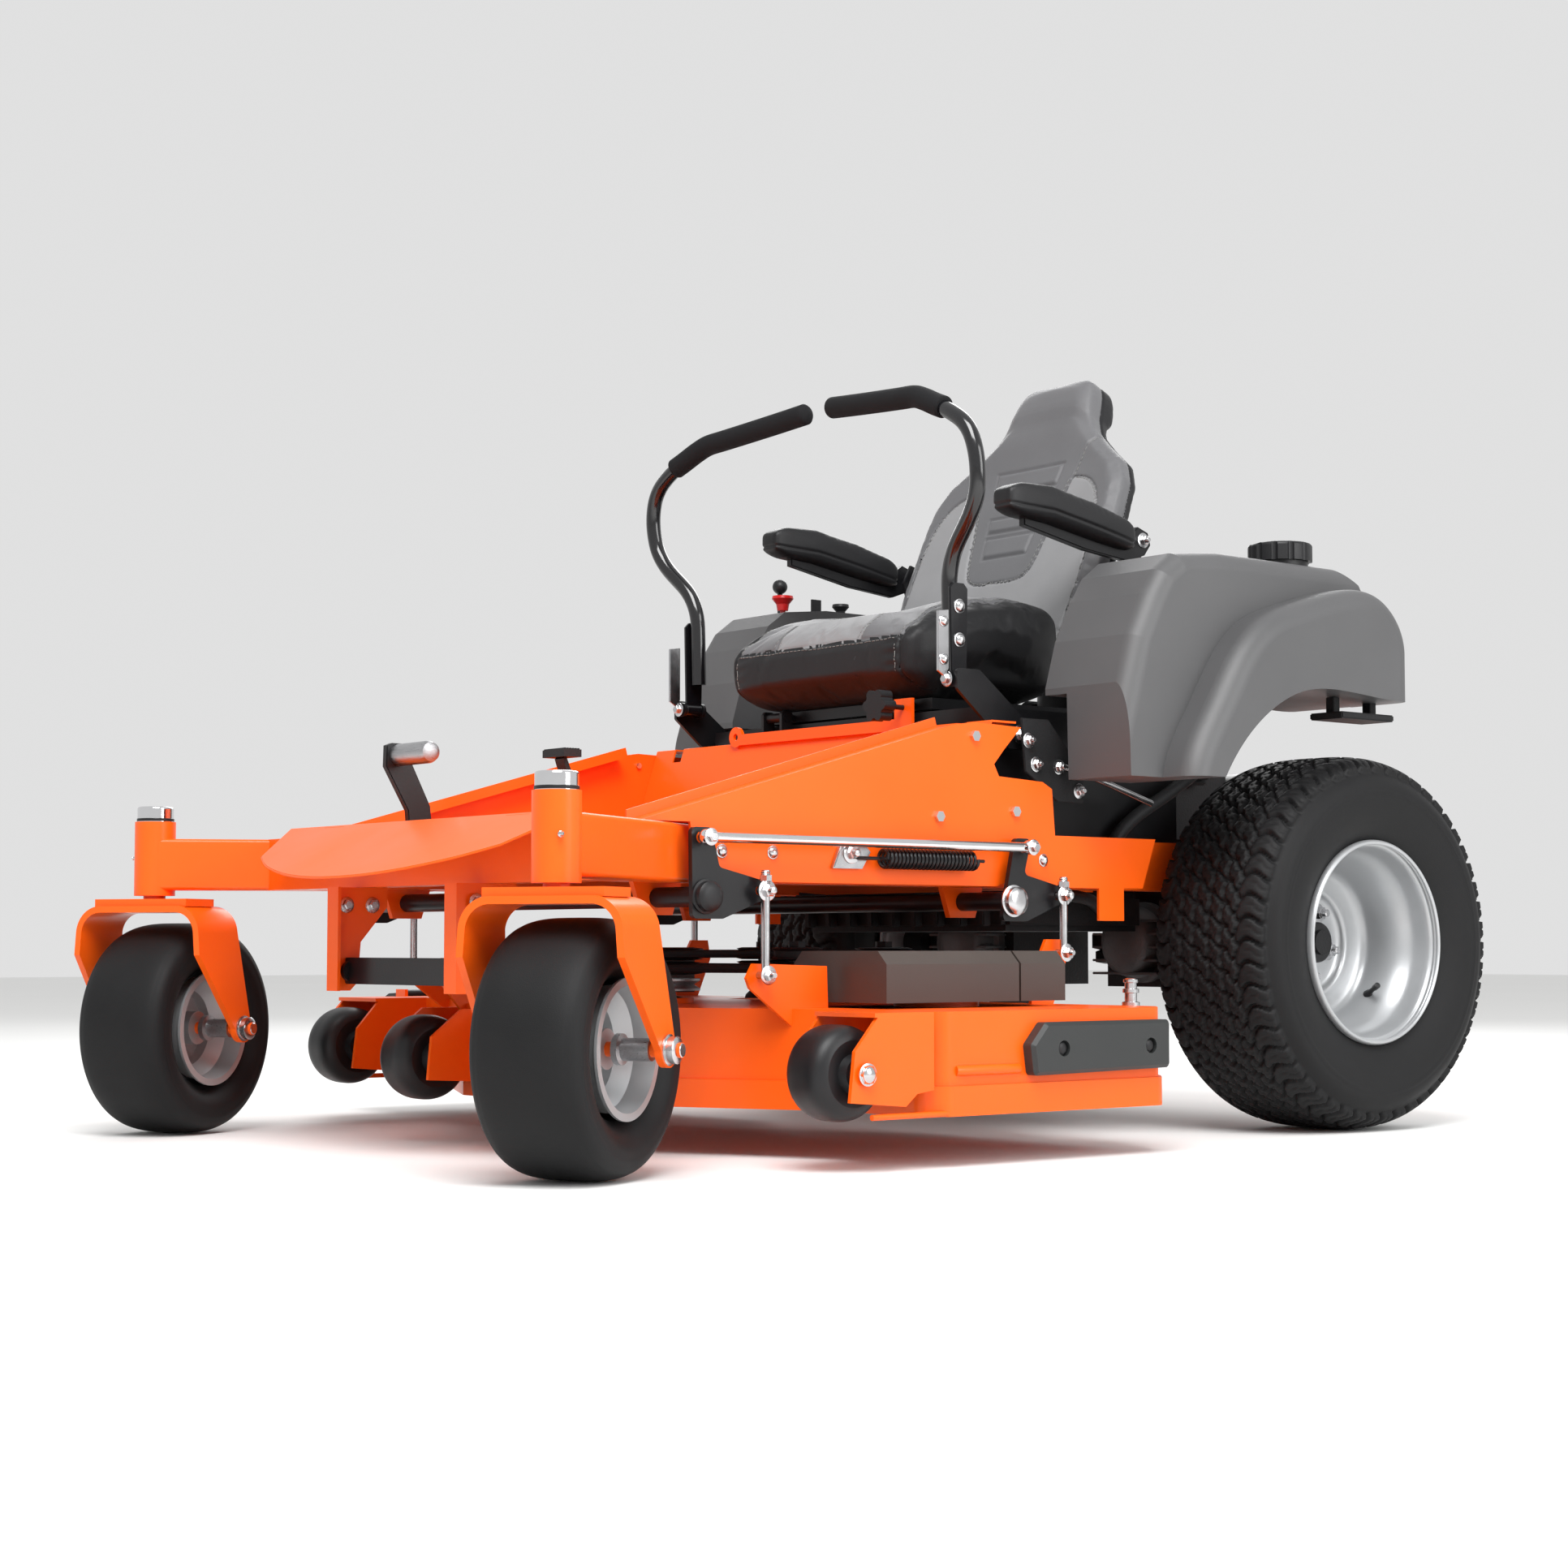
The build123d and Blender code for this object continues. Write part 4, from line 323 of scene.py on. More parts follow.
class Kit:
    """Small fittings gathered into one mesh per body and look, in millimetres from the rear axle."""

    def __init__(self, name, look, body, slot=None):
        self.name, self.look, self.body, self.slot = name, look, body, slot
        self.bm = bmesh.new()

    def basis(self, place, axis):
        rotation = Vector(axis).to_track_quat("Z", "X").to_matrix().to_4x4()
        return Matrix.Translation(at(*place)) @ rotation

    def prism(self, place, axis, radius, length, sides=32, top=None):
        """A cylinder, cone or hexagon from place along axis."""
        matrix = self.basis(place, axis) @ Matrix.Translation((0, 0, length * MM / 2))
        bmesh.ops.create_cone(self.bm, cap_ends=True, segments=sides, radius1=radius * MM,
                              radius2=(radius if top is None else top) * MM, depth=length * MM, matrix=matrix)

    def lathe(self, place, axis, profile, sides=40):
        """A turned piece: (height, radius) pairs from place along axis."""
        matrix = self.basis(place, axis)
        rings = []
        for height, radius in profile:
            ring = []
            for k in range(sides):
                angle = 2 * pi * k / sides
                point = Vector((radius * cos(angle), radius * sin(angle), height)) * MM
                ring.append(self.bm.verts.new(matrix @ point))
            rings.append(ring)
        for a, b in zip(rings, rings[1:]):
            for k in range(sides):
                self.bm.faces.new((a[k], a[(k + 1) % sides], b[(k + 1) % sides], b[k]))
        self.bm.faces.new(list(reversed(rings[0])))
        self.bm.faces.new(rings[-1])

    def bolt(self, place, axis, across=8.0, head=6.0, washer=True, stud=0.0, dome=False):
        """A hex or dome head on its washer, with the end of its thread if it has one."""
        x, y, z = place
        ax, ay, az = axis
        lift = 0.0
        if washer:
            self.lathe(place, axis, [(0, across * 1.45), (1.2, across * 1.5), (1.8, across * 1.35)], 36)
            lift = 1.8
        start = (x + ax * lift, y + ay * lift, z + az * lift)
        if dome:
            self.lathe(start, axis, [(0, across * 1.25), (head * 0.3, across * 1.2),
                                     (head * 0.7, across * 0.85), (head, across * 0.3)], 32)
        else:
            self.prism(start, axis, across, head * 0.8, 6)
            tip = (x + ax * (lift + head * 0.8), y + ay * (lift + head * 0.8), z + az * (lift + head * 0.8))
            self.prism(tip, axis, across * 0.93, head * 0.2, 6, top=across * 0.74)
        if stud:
            end = (x + ax * (lift + head), y + ay * (lift + head), z + az * (lift + head))
            turns = [(k * 1.25, across * (0.5 if k % 2 else 0.56)) for k in range(int(stud / 1.25) + 1)]
            self.lathe(end, axis, turns + [(stud + 1, across * 0.4)], 20)

    def box(self, low, high, bevel=1.0):
        """A block between two corners with softened edges."""
        a, b = at(*low), at(*high)
        made = bmesh.ops.create_cube(self.bm, size=1.0)["verts"]
        for v in made:
            v.co = Vector(((a.x + b.x) / 2 + v.co.x * (b.x - a.x), (a.y + b.y) / 2 + v.co.y * (b.y - a.y),
                           (a.z + b.z) / 2 + v.co.z * (b.z - a.z)))
        if bevel:
            edges = list({e for v in made for e in v.link_edges})
            bmesh.ops.bevel(self.bm, geom=edges, offset=bevel * MM, segments=2, affect="EDGES")

    def plate(self, outline, start, direction, thick, bevel=0.8):
        """A flat plate: corner points in mm, each pushed along direction by thick."""
        base = [self.bm.verts.new(at(*p) + Vector(direction) * start * MM) for p in outline]
        top = [self.bm.verts.new(v.co + Vector(direction) * thick * MM) for v in base]
        faces = [self.bm.faces.new(base), self.bm.faces.new(list(reversed(top)))]
        for k in range(len(base)):
            m = (k + 1) % len(base)
            faces.append(self.bm.faces.new((base[m], base[k], top[k], top[m])))
        bmesh.ops.recalc_face_normals(self.bm, faces=faces)
        if bevel:
            edges = list({e for f in faces[:2] for e in f.edges})
            bmesh.ops.bevel(self.bm, geom=edges, offset=bevel * MM, segments=2, affect="EDGES")

    def rod(self, points, radius, sides=14, closed=False):
        """A round bar along a list of points."""
        path = [at(*p) for p in points]
        rings = []
        up = None
        for k, p in enumerate(path):
            ahead = path[(k + 1) % len(path)] if closed or k < len(path) - 1 else p + (p - path[k - 1])
            behind = path[k - 1] if closed or k > 0 else p - (ahead - p)
            line = (ahead - behind).normalized()
            if up is None:
                up = line.orthogonal().normalized()
            up = (up - line * up.dot(line)).normalized()
            other = line.cross(up)
            turns = [2 * pi * n / sides for n in range(sides)]
            rings.append([self.bm.verts.new(p + (up * cos(a) + other * sin(a)) * radius * MM) for a in turns])
        pairs = list(zip(rings, rings[1:])) + ([(rings[-1], rings[0])] if closed else [])
        for a, b in pairs:
            for n in range(sides):
                self.bm.faces.new((a[n], a[(n + 1) % sides], b[(n + 1) % sides], b[n]))
        if not closed:
            self.bm.faces.new(list(reversed(rings[0])))
            self.bm.faces.new(rings[-1])

    def done(self, sharp=40):
        bmesh.ops.recalc_face_normals(self.bm, faces=self.bm.faces[:])
        mesh = bpy.data.meshes.new(self.name)
        self.bm.to_mesh(mesh)
        self.bm.free()
        return finish_object(self.name, mesh, self.look, self.body, sharp)


# ---------------------------------------------------------------- tyres
CASTER_YAW = 28.1
REAR_R, REAR_HALF, REAR_BEAD = 300.0, 122.0, 158.0
TREAD_BLOCKS, TREAD_DEPTH = 52, 9.0
ROW_EDGES = [-132.0, -68.0, -41.0, -14.0, 14.0, 41.0, 68.0, 132.0]


def carcass(radius, half, bead_r, squareness, step):
    """Outer section of a tyre as (x, r) plus its distance along the surface from the crown."""
    middle = (radius + bead_r) / 2
    angle = np.linspace(pi, 0, 1600)
    wave = lambda v: np.sign(v) * np.abs(v) ** (2 / squareness)
    x, r = half * wave(np.cos(angle)), middle + (radius - middle) * np.abs(wave(np.sin(angle)))
    run = np.concatenate([[0], np.cumsum(np.hypot(np.diff(x), np.diff(r)))])
    count = int(run[-1] / step)
    even = np.linspace(0, run[-1], count)
    x, r = np.interp(even, run, x), np.interp(even, run, r)
    bead = half - 26
    lower = np.linspace(0, 1, 12)[1:]
    side_x = half - (half - bead) * lower ** 1.8
    side_r = middle - (middle - bead_r) * lower
    x = np.concatenate([-side_x[::-1], x, side_x])
    r = np.concatenate([side_r[::-1], r, side_r])
    along = np.concatenate([[0], np.cumsum(np.hypot(np.diff(x), np.diff(r)))])
    return x, r, along - along[-1] / 2


def tyre_mesh(name, x, r, lift, segments, matrix, body, node):
    """Revolves a section whose radius is lifted by lift[segment][point], with its surface normal."""
    tangent = np.stack([np.gradient(x), np.gradient(r)], axis=-1)
    tangent /= np.linalg.norm(tangent, axis=1)[:, None]
    out_x, out_r = -tangent[:, 1], tangent[:, 0]
    turn = np.linspace(0, 2 * pi, segments, endpoint=False)[:, None]
    px, pr = x + lift * out_x, r + lift * out_r
    points = np.stack([px, pr * np.sin(turn), pr * np.cos(turn)], axis=-1)
    obj = grid_object(name, placed(points, matrix), "tyre", body, sharp=0)
    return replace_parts(obj, node)


def tread_lift(along, segments):
    """Grooves between staggered wavy turf blocks, and open shoulders, as a depth below the carcass."""
    turn = np.linspace(0, 1, segments, endpoint=False)[:, None] * TREAD_BLOCKS
    s = along[None, :] + 2.2 * np.sin(2 * pi * turn)
    row = np.clip(np.digitize(s, ROW_EDGES) - 1, 0, len(ROW_EDGES) - 2)
    edges = np.array(ROW_EDGES)
    low, high = edges[row], edges[row + 1]
    across = (s - (low + high) / 2) / ((high - low) / 2)
    shoulder = (row == 0) | (row == len(ROW_EDGES) - 2)
    wave = np.where(shoulder, 0.16 * np.sin(pi * across * 1.4), 0.24 * np.sin(pi * across * 0.95))
    place = turn + 0.5 * (row % 2) + wave
    pitch = 2 * pi * REAR_R / TREAD_BLOCKS
    gap = np.abs(place - np.round(place)) * pitch
    side_gap = (1 - np.abs(across)) * (high - low) / 2
    groove = np.maximum(1 - smoothstep(2.8, 4.2, gap), 1 - smoothstep(1.8, 3.2, side_gap))
    groove = np.where(shoulder & (np.abs(s) > 100), 1 - smoothstep(3.2, 5.6, gap), groove)
    # a thin sipe down the middle of each block
    sipe = (1 - smoothstep(0.5, 1.4, np.abs(gap - pitch / 2))) * (np.abs(across) < 0.62) * 0.22
    lift = -TREAD_DEPTH * np.maximum(groove, sipe * (1 - groove))
    run_out = smoothstep(112, 122, np.abs(along))[None, :]
    wall = 1 - smoothstep(118, 150, np.abs(along))[None, :]
    lift = lift * (1 - run_out) - TREAD_DEPTH * 0.8 * run_out * wall
    rings = sum(1.3 * np.exp(-((np.abs(along) - p) / 1.4) ** 2) for p in (158.0, 196.0))
    return lift + rings[None, :]


x, r, along = carcass(REAR_R, REAR_HALF, REAR_BEAD, 3.4, 3.2)
REAR_SEGMENTS = TREAD_BLOCKS * 14
rear_lift = tread_lift(along, REAR_SEGMENTS)
for side in ("left", "right"):
    tyre_mesh(f"turf_tyre_{side}", x, r, rear_lift, REAR_SEGMENTS,
              wheel_matrix(f"rear_tyre_{side}", flip=side == "right"), f"rear_wheel_{side}",
              f"rear_tyre_{side}")

FRONT_R, FRONT_HALF, FRONT_BEAD = 165.0, 77.0, 90.0
x, r, along = carcass(FRONT_R, FRONT_HALF, FRONT_BEAD, 3.4, 3.0)
marks = (0.9 * np.exp(-(along / 0.9) ** 2) + 0.7 * np.exp(-((np.abs(along) - 88) / 1.6) ** 2)
         - 1.0 * np.exp(-((np.abs(along) - 62) / 1.2) ** 2))
FRONT_SEGMENTS = 160
for side in ("left", "right"):
    tyre_mesh(f"smooth_tyre_{side}", x, r, np.repeat(marks[None, :], FRONT_SEGMENTS, axis=0), FRONT_SEGMENTS,
              wheel_matrix(f"front_tyre_{side}", CASTER_YAW), f"front_wheel_{side}", f"front_tyre_{side}")

# ---------------------------------------------------------------- drive wheel rims and hubs
RIM_SECTION = [(106, 157), (108, 159), (106, 161), (100, 160), (96, 153), (74, 150), (62, 147),
               (48, 138), (34, 132), (14, 127), (-4, 124), (-12, 120), (-18, 112), (-22, 96), (-24, 84),
               (-33, 78), (-36, 60), (-36, 42), (-40, 42), (-40, 62), (-37, 82), (-28, 88), (-26, 98),
               (-24, 116), (-30, 124), (-50, 124), (-62, 146), (-98, 150), (-106, 158), (-108, 161),
               (-105, 162), (-95, 153), (-60, 150), (-46, 129), (-22, 129), (14, 132), (34, 137),
               (46, 143), (60, 151), (74, 155), (92, 158), (98, 163), (106, 163.5), (111, 160),
               (109, 156)]
for side, flip in (("left", False), ("right", True)):
    body = f"rear_wheel_{side}"
    matrix = wheel_matrix(f"rear_tyre_{side}", flip=flip)
    rim_points = placed(revolved(smooth_line(RIM_SECTION, 150, closed=True), 128), matrix)
    rim = grid_object(f"dished_rim_{side}", rim_points, "rim", body, sharp=0)
    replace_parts(rim, f"rear_rim_{side}")
    sign = -1 if flip else 1
    hub_x = sign * (WHEEL.x - MID_X) / MM
    hub = Kit(f"hub_cap_{side}", "black_plastic", body, "black_plastic")
    hub.lathe((hub_x - sign * 90, 0, 300), (sign, 0, 0), [(0, 44), (50, 44), (52, 42)])
    hub.lathe((hub_x - sign * 38, 0, 300), (sign, 0, 0), [(0, 34), (14, 33.5), (27, 33), (29, 32), (30, 30)])
    valve_angle = radians(132)
    vy, vz = 128 * sin(valve_angle), 128 * cos(valve_angle)
    valve_axis = (sign * 0.75, -0.5 * sin(valve_angle), -0.5 * cos(valve_angle))
    hub.lathe((hub_x + sign * 12, vy, 300 + vz), valve_axis,
              [(0, 7), (8, 6), (12, 4), (30, 3.6), (31, 5), (42, 5), (43, 3.5)], 24)
    hub.done()
    studs = Kit(f"wheel_studs_{side}", "zinc", body, "zinc")
    for k in range(5):
        angle = 2 * pi * k / 5 + 0.55
        place = (hub_x - sign * 36, 56 * sin(angle), 300 + 56 * cos(angle))
        studs.bolt(place, (sign, 0, 0), across=11, head=12, stud=8)
    studs.done()

# ---------------------------------------------------------------- padded pieces
def pillow_points(across, squareness):
    """Points of a rounded box of half-size 1: a cube grid pushed on to a superellipsoid."""
    line = np.linspace(-1, 1, across)
    verts, faces, index = [], [], {}

    def vertex(p):
        key = tuple(np.round(p, 6))
        if key not in index:
            index[key] = len(verts)
            verts.append(p)
        return index[key]

    for axis in range(3):
        for end in (-1.0, 1.0):
            ids = np.empty((across, across), int)
            for i, a in enumerate(line):
                for j, b in enumerate(line):
                    p = np.empty(3)
                    p[axis], p[(axis + 1) % 3], p[(axis + 2) % 3] = end, a, b
                    ids[i, j] = vertex(p)
            for i in range(across - 1):
                for j in range(across - 1):
                    quad = (ids[i, j], ids[i + 1, j], ids[i + 1, j + 1], ids[i, j + 1])
                    faces.append(tuple(int(k) for k in (quad if end > 0 else quad[::-1])))
    cube = np.array(verts)
    length = (np.abs(cube) ** squareness).sum(axis=1) ** (1 / squareness)
    return cube / length[:, None], faces


def pillow(name, shape, look, body, across=40, squareness=6.0):
    """A padded block: shape maps the rounded unit cube to millimetres."""
    unit, faces = pillow_points(across, squareness)
    verts = [at(*p) for p in shape(unit)]
    mesh = bpy.data.meshes.new(name)
    mesh.from_pydata(verts, [], faces)
    mesh.update()
    return finish_object(name, mesh, look, body, sharp=0)


def coords(obj):
    flat = np.empty(len(obj.data.vertices) * 3)
    obj.data.vertices.foreach_get("co", flat)
    return flat.reshape(-1, 3)


def set_coords(obj, points):
    obj.data.vertices.foreach_set("co", points.ravel())
    obj.data.update()


def normals(obj):
    flat = np.empty(len(obj.data.vertices) * 3)
    obj.data.vertices.foreach_get("normal", flat)
    return flat.reshape(-1, 3)


def machine(points):
    """Row-frame metres back to millimetres from the rear axle."""
    return np.stack([(points[:, 0] - MID_X) / MM, (points[:, 1] - AXLE_Y) / MM, points[:, 2] / MM], axis=-1)


def puff(obj, voxel=0.005, pressure=4.0, cap=0.012, frames=20):
    """Inflates a pad as cloth and keeps the result; each point moves no more than cap."""
    remesh = obj.modifiers.new("remesh", "REMESH")
    remesh.mode, remesh.voxel_size, remesh.use_smooth_shade = "VOXEL", voxel, True
    apply_modifiers(obj)
    before = coords(obj)
    cloth = obj.modifiers.new("cloth", "CLOTH")
    cloth.settings.use_pressure = True
    cloth.settings.uniform_pressure_force = pressure
    cloth.settings.effector_weights.gravity = 0
    cloth.settings.quality = 5
    cloth.settings.tension_stiffness = cloth.settings.compression_stiffness = 25
    cloth.settings.bending_stiffness = 2.5
    cloth.point_cache.frame_start, cloth.point_cache.frame_end = 1, frames
    scene = bpy.context.scene
    for step in range(1, frames + 1):
        scene.frame_set(step)
    apply_modifiers(obj)
    scene.frame_set(1)
    moved = coords(obj) - before
    size = np.linalg.norm(moved, axis=1)[:, None]
    set_coords(obj, before + moved * np.minimum(1, cap / np.maximum(size, 1e-9)))
    return obj


def apply_modifiers(obj):
    graph = bpy.context.evaluated_depsgraph_get()
    mesh = bpy.data.meshes.new_from_object(obj.evaluated_get(graph))
    obj.modifiers.clear()
    old = obj.data
    obj.data = mesh
    bpy.data.meshes.remove(old)


def subdivide(obj, levels=1):
    sub = obj.modifiers.new("subdivision", "SUBSURF")
    sub.levels = sub.render_levels = levels
    apply_modifiers(obj)
    obj.data.shade_smooth()


def outline_distance(points, outline):
    """Distance from each 2-D point to a closed outline, negative inside."""
    best = np.full(len(points), 1e9)
    inside = np.zeros(len(points), bool)
    for a, b in zip(outline, np.roll(outline, -1, axis=0)):
        edge, to = b - a, points - a
        t = np.clip((to @ edge) / max(edge @ edge, 1e-9), 0, 1)
        best = np.minimum(best, np.linalg.norm(to - t[:, None] * edge, axis=1))
        crosses = (a[1] > points[:, 1]) != (b[1] > points[:, 1])
        if abs(edge[1]) > 1e-9:
            inside ^= crosses & (points[:, 0] < a[0] + (points[:, 1] - a[1]) * edge[0] / edge[1])
    return np.where(inside, -best, best)


def snap_to_lines(flat, distance, mask, reach=2.2):
    """Slides vertices near a region's edge on to it, so that the edge comes out smooth."""
    base = distance(flat)
    step = 0.25
    grad = np.stack([distance(flat + np.array([step, 0])) - base,
                     distance(flat + np.array([0, step])) - base], axis=-1) / step
    grad /= np.maximum(np.linalg.norm(grad, axis=1)[:, None], 1e-6)
    near = mask & (np.abs(base) < reach)
    return np.where(near[:, None], -base[:, None] * grad, 0.0)


def paint(obj, rule):
    """Gives each face the material number that rule says for its centre, in millimetres."""
    centres = np.empty(len(obj.data.polygons) * 3)
    obj.data.polygons.foreach_get("center", centres)
    facing = np.empty(len(obj.data.polygons) * 3)
    obj.data.polygons.foreach_get("normal", facing)
    numbers = rule(machine(centres.reshape(-1, 3)), facing.reshape(-1, 3)).astype(np.int32)
    obj.data.polygons.foreach_set("material_index", numbers)
    obj.data.update()


def press(obj, depth, normal=None):
    """Moves each vertex along its normal by depth millimetres (inwards is negative)."""
    set_coords(obj, coords(obj) + (normals(obj) if normal is None else normal) * depth[:, None] * MM)


def groove(distance, depth, width):
    return -depth * np.exp(-(distance / width) ** 2)


def stitches(name, obj, lines, body, length=6.5, gap=3.2, radius=0.6):
    """Short thread stitches laid on a pad along lines of millimetre points."""
    graph = bpy.context.evaluated_depsgraph_get()
    tree = BVHTree.FromObject(obj, graph)
    inverse = obj.matrix_world.inverted()
    kit = Kit(name, "thread", body, "vinyl")
    for line in lines:
        path = [inverse @ at(*p) for p in line]
        run = np.concatenate([[0], np.cumsum([(b - a).length / MM for a, b in zip(path, path[1:])])])
        place = gap
        while place + length < run[-1]:
            ends = []
            for t in np.linspace(place, place + length, 4):
                k = min(int(np.searchsorted(run, t, side="right")) - 1, len(path) - 2)
                f = (t - run[k]) / max(run[k + 1] - run[k], 1e-9)
                spot, normal, _, _ = tree.find_nearest(path[k].lerp(path[k + 1], f))
                point = obj.matrix_world @ (spot + normal * radius * 0.55 * MM)
                ends.append(tuple(machine(np.array([point]))[0]))
            kit.rod(ends, radius, 6)
            place += length + gap
    return kit.done(sharp=0)


# ---------------------------------------------------------------- seat
CUSHION_HALF, CUSHION_Y0, CUSHION_Y1, CUSHION_Z0 = 240.0, -668.0, -306.0, 697.0
CUSHION_TOP = [(-668, 776), (-640, 800), (-592, 829), (-500, 850), (-428, 856), (-350, 852), (-300, 834)]


def cushion_shape(unit):
    a, b, c = unit.T
    y = CUSHION_Y0 + (CUSHION_Y1 - CUSHION_Y0) * (b + 1) / 2
    top = np.interp(y, *np.array(CUSHION_TOP).T) - 12 * np.maximum(0, 1 - (np.abs(a) * 1.2) ** 2) * (y > -600)
    bottom = CUSHION_Z0 + 22 * np.maximum(0, (-610 - y) / 58)
    y = y - 26 * (c < 0) * (-c) * (b > 0.5) * (b - 0.5)
    x = a * (CUSHION_HALF - 8 * np.maximum(0, -c))
    return np.stack([x, y, (top + bottom) / 2 + c * (top - bottom) / 2], axis=-1)


cushion = pillow("seat_cushion_pad", cushion_shape, ["vinyl_black", "vinyl_mid", "vinyl_light"], "seat",
                 across=44, squareness=9.0)
puff(cushion, cap=0.008)
subdivide(cushion)
BAND, PANEL, FRONT_SEAM = 105.0, 206.0, 782.0


def cushion_lines(p):
    """Distances of points to the cushion's seams: band edges, side seams and the front seam."""
    band = np.abs(np.abs(p[:, 0]) - BAND)
    side = np.abs(np.abs(p[:, 0]) - PANEL)
    front = np.abs(p[:, 2] - FRONT_SEAM)
    top = (p[:, 2] > FRONT_SEAM) & (np.abs(p[:, 0]) < PANEL)
    return band, side, front, top


p = machine(coords(cushion))
shift = np.zeros_like(p)
for target in (BAND, PANEL):
    off = np.abs(p[:, 0]) - target
    near = (np.abs(off) < 1.7) & (p[:, 2] > FRONT_SEAM - 90)
    shift[:, 0] -= np.where(near, off * np.sign(p[:, 0]), 0)
off = p[:, 2] - FRONT_SEAM
shift[:, 2] -= np.where((np.abs(off) < 1.7) & (p[:, 1] < -600) & (np.abs(p[:, 0]) < PANEL + 3), off, 0)
set_coords(cushion, coords(cushion) + shift * MM)
p = machine(coords(cushion))
band, side, front, top = cushion_lines(p)
frontal = p[:, 1] < -600
depth = groove(band, 2.6, 2.4) * top
depth += groove(side, 3.2, 2.8) * (p[:, 2] > 706)
depth += groove(front, 3.0, 2.6) * frontal * (np.abs(p[:, 0]) < PANEL)
# soft creases where the side panel meets the front
creases = np.sin(p[:, 2] * 0.34 + p[:, 1] * 0.2) * 0.9 * frontal
creases *= np.exp(-((np.abs(p[:, 0]) - 190) / 16) ** 2)
depth += creases * (p[:, 2] < FRONT_SEAM)
press(cushion, depth)


def cushion_paint(c, facing):
    on_top = (c[:, 2] > FRONT_SEAM) & (np.abs(c[:, 0]) < PANEL) & (facing[:, 2] > -0.2)
    return np.where(on_top, np.where(np.abs(c[:, 0]) < BAND, 2, 1), 0)


paint(cushion, cushion_paint)
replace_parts(cushion, "seat_cushion")
seam_y = np.linspace(-655, -330, 40)
seam_top = [np.interp(v, *np.array(CUSHION_TOP).T) for v in seam_y]
lines = []
for s in (-1, 1):
    for offset in (-4.5, 4.5):
        lines.append([(s * BAND + offset, y, z) for y, z in zip(seam_y, seam_top)])
    lines.append([(s * (PANEL - 5), y, z) for y, z in zip(seam_y, seam_top)])
    lines.append([(s * (PANEL - 5), -672, z) for z in np.linspace(776, 712, 12)])
lines.append([(x, -674, FRONT_SEAM + 5) for x in np.linspace(-PANEL + 6, PANEL - 6, 60)])
stitches("cushion_stitches", cushion, lines, "seat")

BACK_LEAN = radians(24)
BACK_FOOT = np.array([0.0, -300.0, 812.0])
BACK_ACROSS = np.array([1.0, 0.0, 0.0])
BACK_UP = np.array([0.0, sin(BACK_LEAN), cos(BACK_LEAN)])
BACK_OUT = np.array([0.0, -cos(BACK_LEAN), sin(BACK_LEAN)])
BACK_HALF = [(-74, 190), (-40, 222), (30, 240), (130, 247), (240, 245), (300, 238), (341, 217), (380, 168),
             (417, 126), (450, 108), (490, 100), (522, 94)]
BACK_LOW, BACK_HIGH = -74.0, 530.0


def on_back(u, v, out):
    """Seat-back coordinates (across, up, forward of the foot plane) to machine millimetres."""
    return (BACK_FOOT[None, :] + np.asarray(u)[:, None] * BACK_ACROSS + np.asarray(v)[:, None] * BACK_UP
            + np.asarray(out)[:, None] * BACK_OUT)


def back_coords(p):
    local = p - BACK_FOOT
    return local[:, 0], local @ BACK_UP, local @ BACK_OUT


def back_shape(unit):
    a, b, c = unit.T
    v = BACK_LOW + (BACK_HIGH - BACK_LOW) * (b + 1) / 2
    half = np.interp(v, *np.array(BACK_HALF).T)
    u = a * half
    thick = 25 + 12 * smoothstep(430, 470, v)
    hollow = 9 * np.maximum(0, 1 - (np.abs(a) / 0.86) ** 3)
    hollow *= smoothstep(-80, 40, v) * (1 - smoothstep(330, 430, v))
    out = -24 - 6 * smoothstep(430, 470, v) + c * thick - np.where(c > 0, hollow * c, 0)
    return on_back(u, v, out)


back = pillow("seat_back_pad", back_shape, ["vinyl_mid", "vinyl_light", "vinyl_black"], "seat",
              across=56, squareness=9.0)
puff(back, cap=0.006)
subdivide(back)
TONGUE = [(112, 313), (103, 262), (94, 215), (84, 160), (74, 134), (52, 122), (0, 120)]
LIGHT_EDGE = [(126, 313), (160, 301), (188, 272), (206, 220), (213, 140), (212, 40), (206, -40)]
tongue_side = smooth_line(TONGUE, 60)
light_side = smooth_line(LIGHT_EDGE, 60)
mirror_u = np.array([-1.0, 1.0])
LIGHT_PANEL = np.concatenate([light_side, light_side[::-1] * mirror_u, tongue_side * mirror_u,
                              tongue_side[::-1]])
PADS = [np.array([(82, 348), (76, 306), (-76, 306), (-82, 348)], float),
        np.array([(66, 254), (62, 224), (-62, 224), (-66, 254)], float),
        np.array([(60, 214), (54, 172), (-54, 172), (-60, 214)], float)]
CENTRE_SEAM = smooth_line([(113, 313), (118, 336), (128, 372), (146, 402)], 20)


def line_distance(flat, line):
    best = np.full(len(flat), 1e9)
    for a, b in zip(line, line[1:]):
        edge, to = b - a, flat - a
        t = np.clip((to @ edge) / max(edge @ edge, 1e-9), 0, 1)
        best = np.minimum(best, np.linalg.norm(to - t[:, None] * edge, axis=1))
    return best


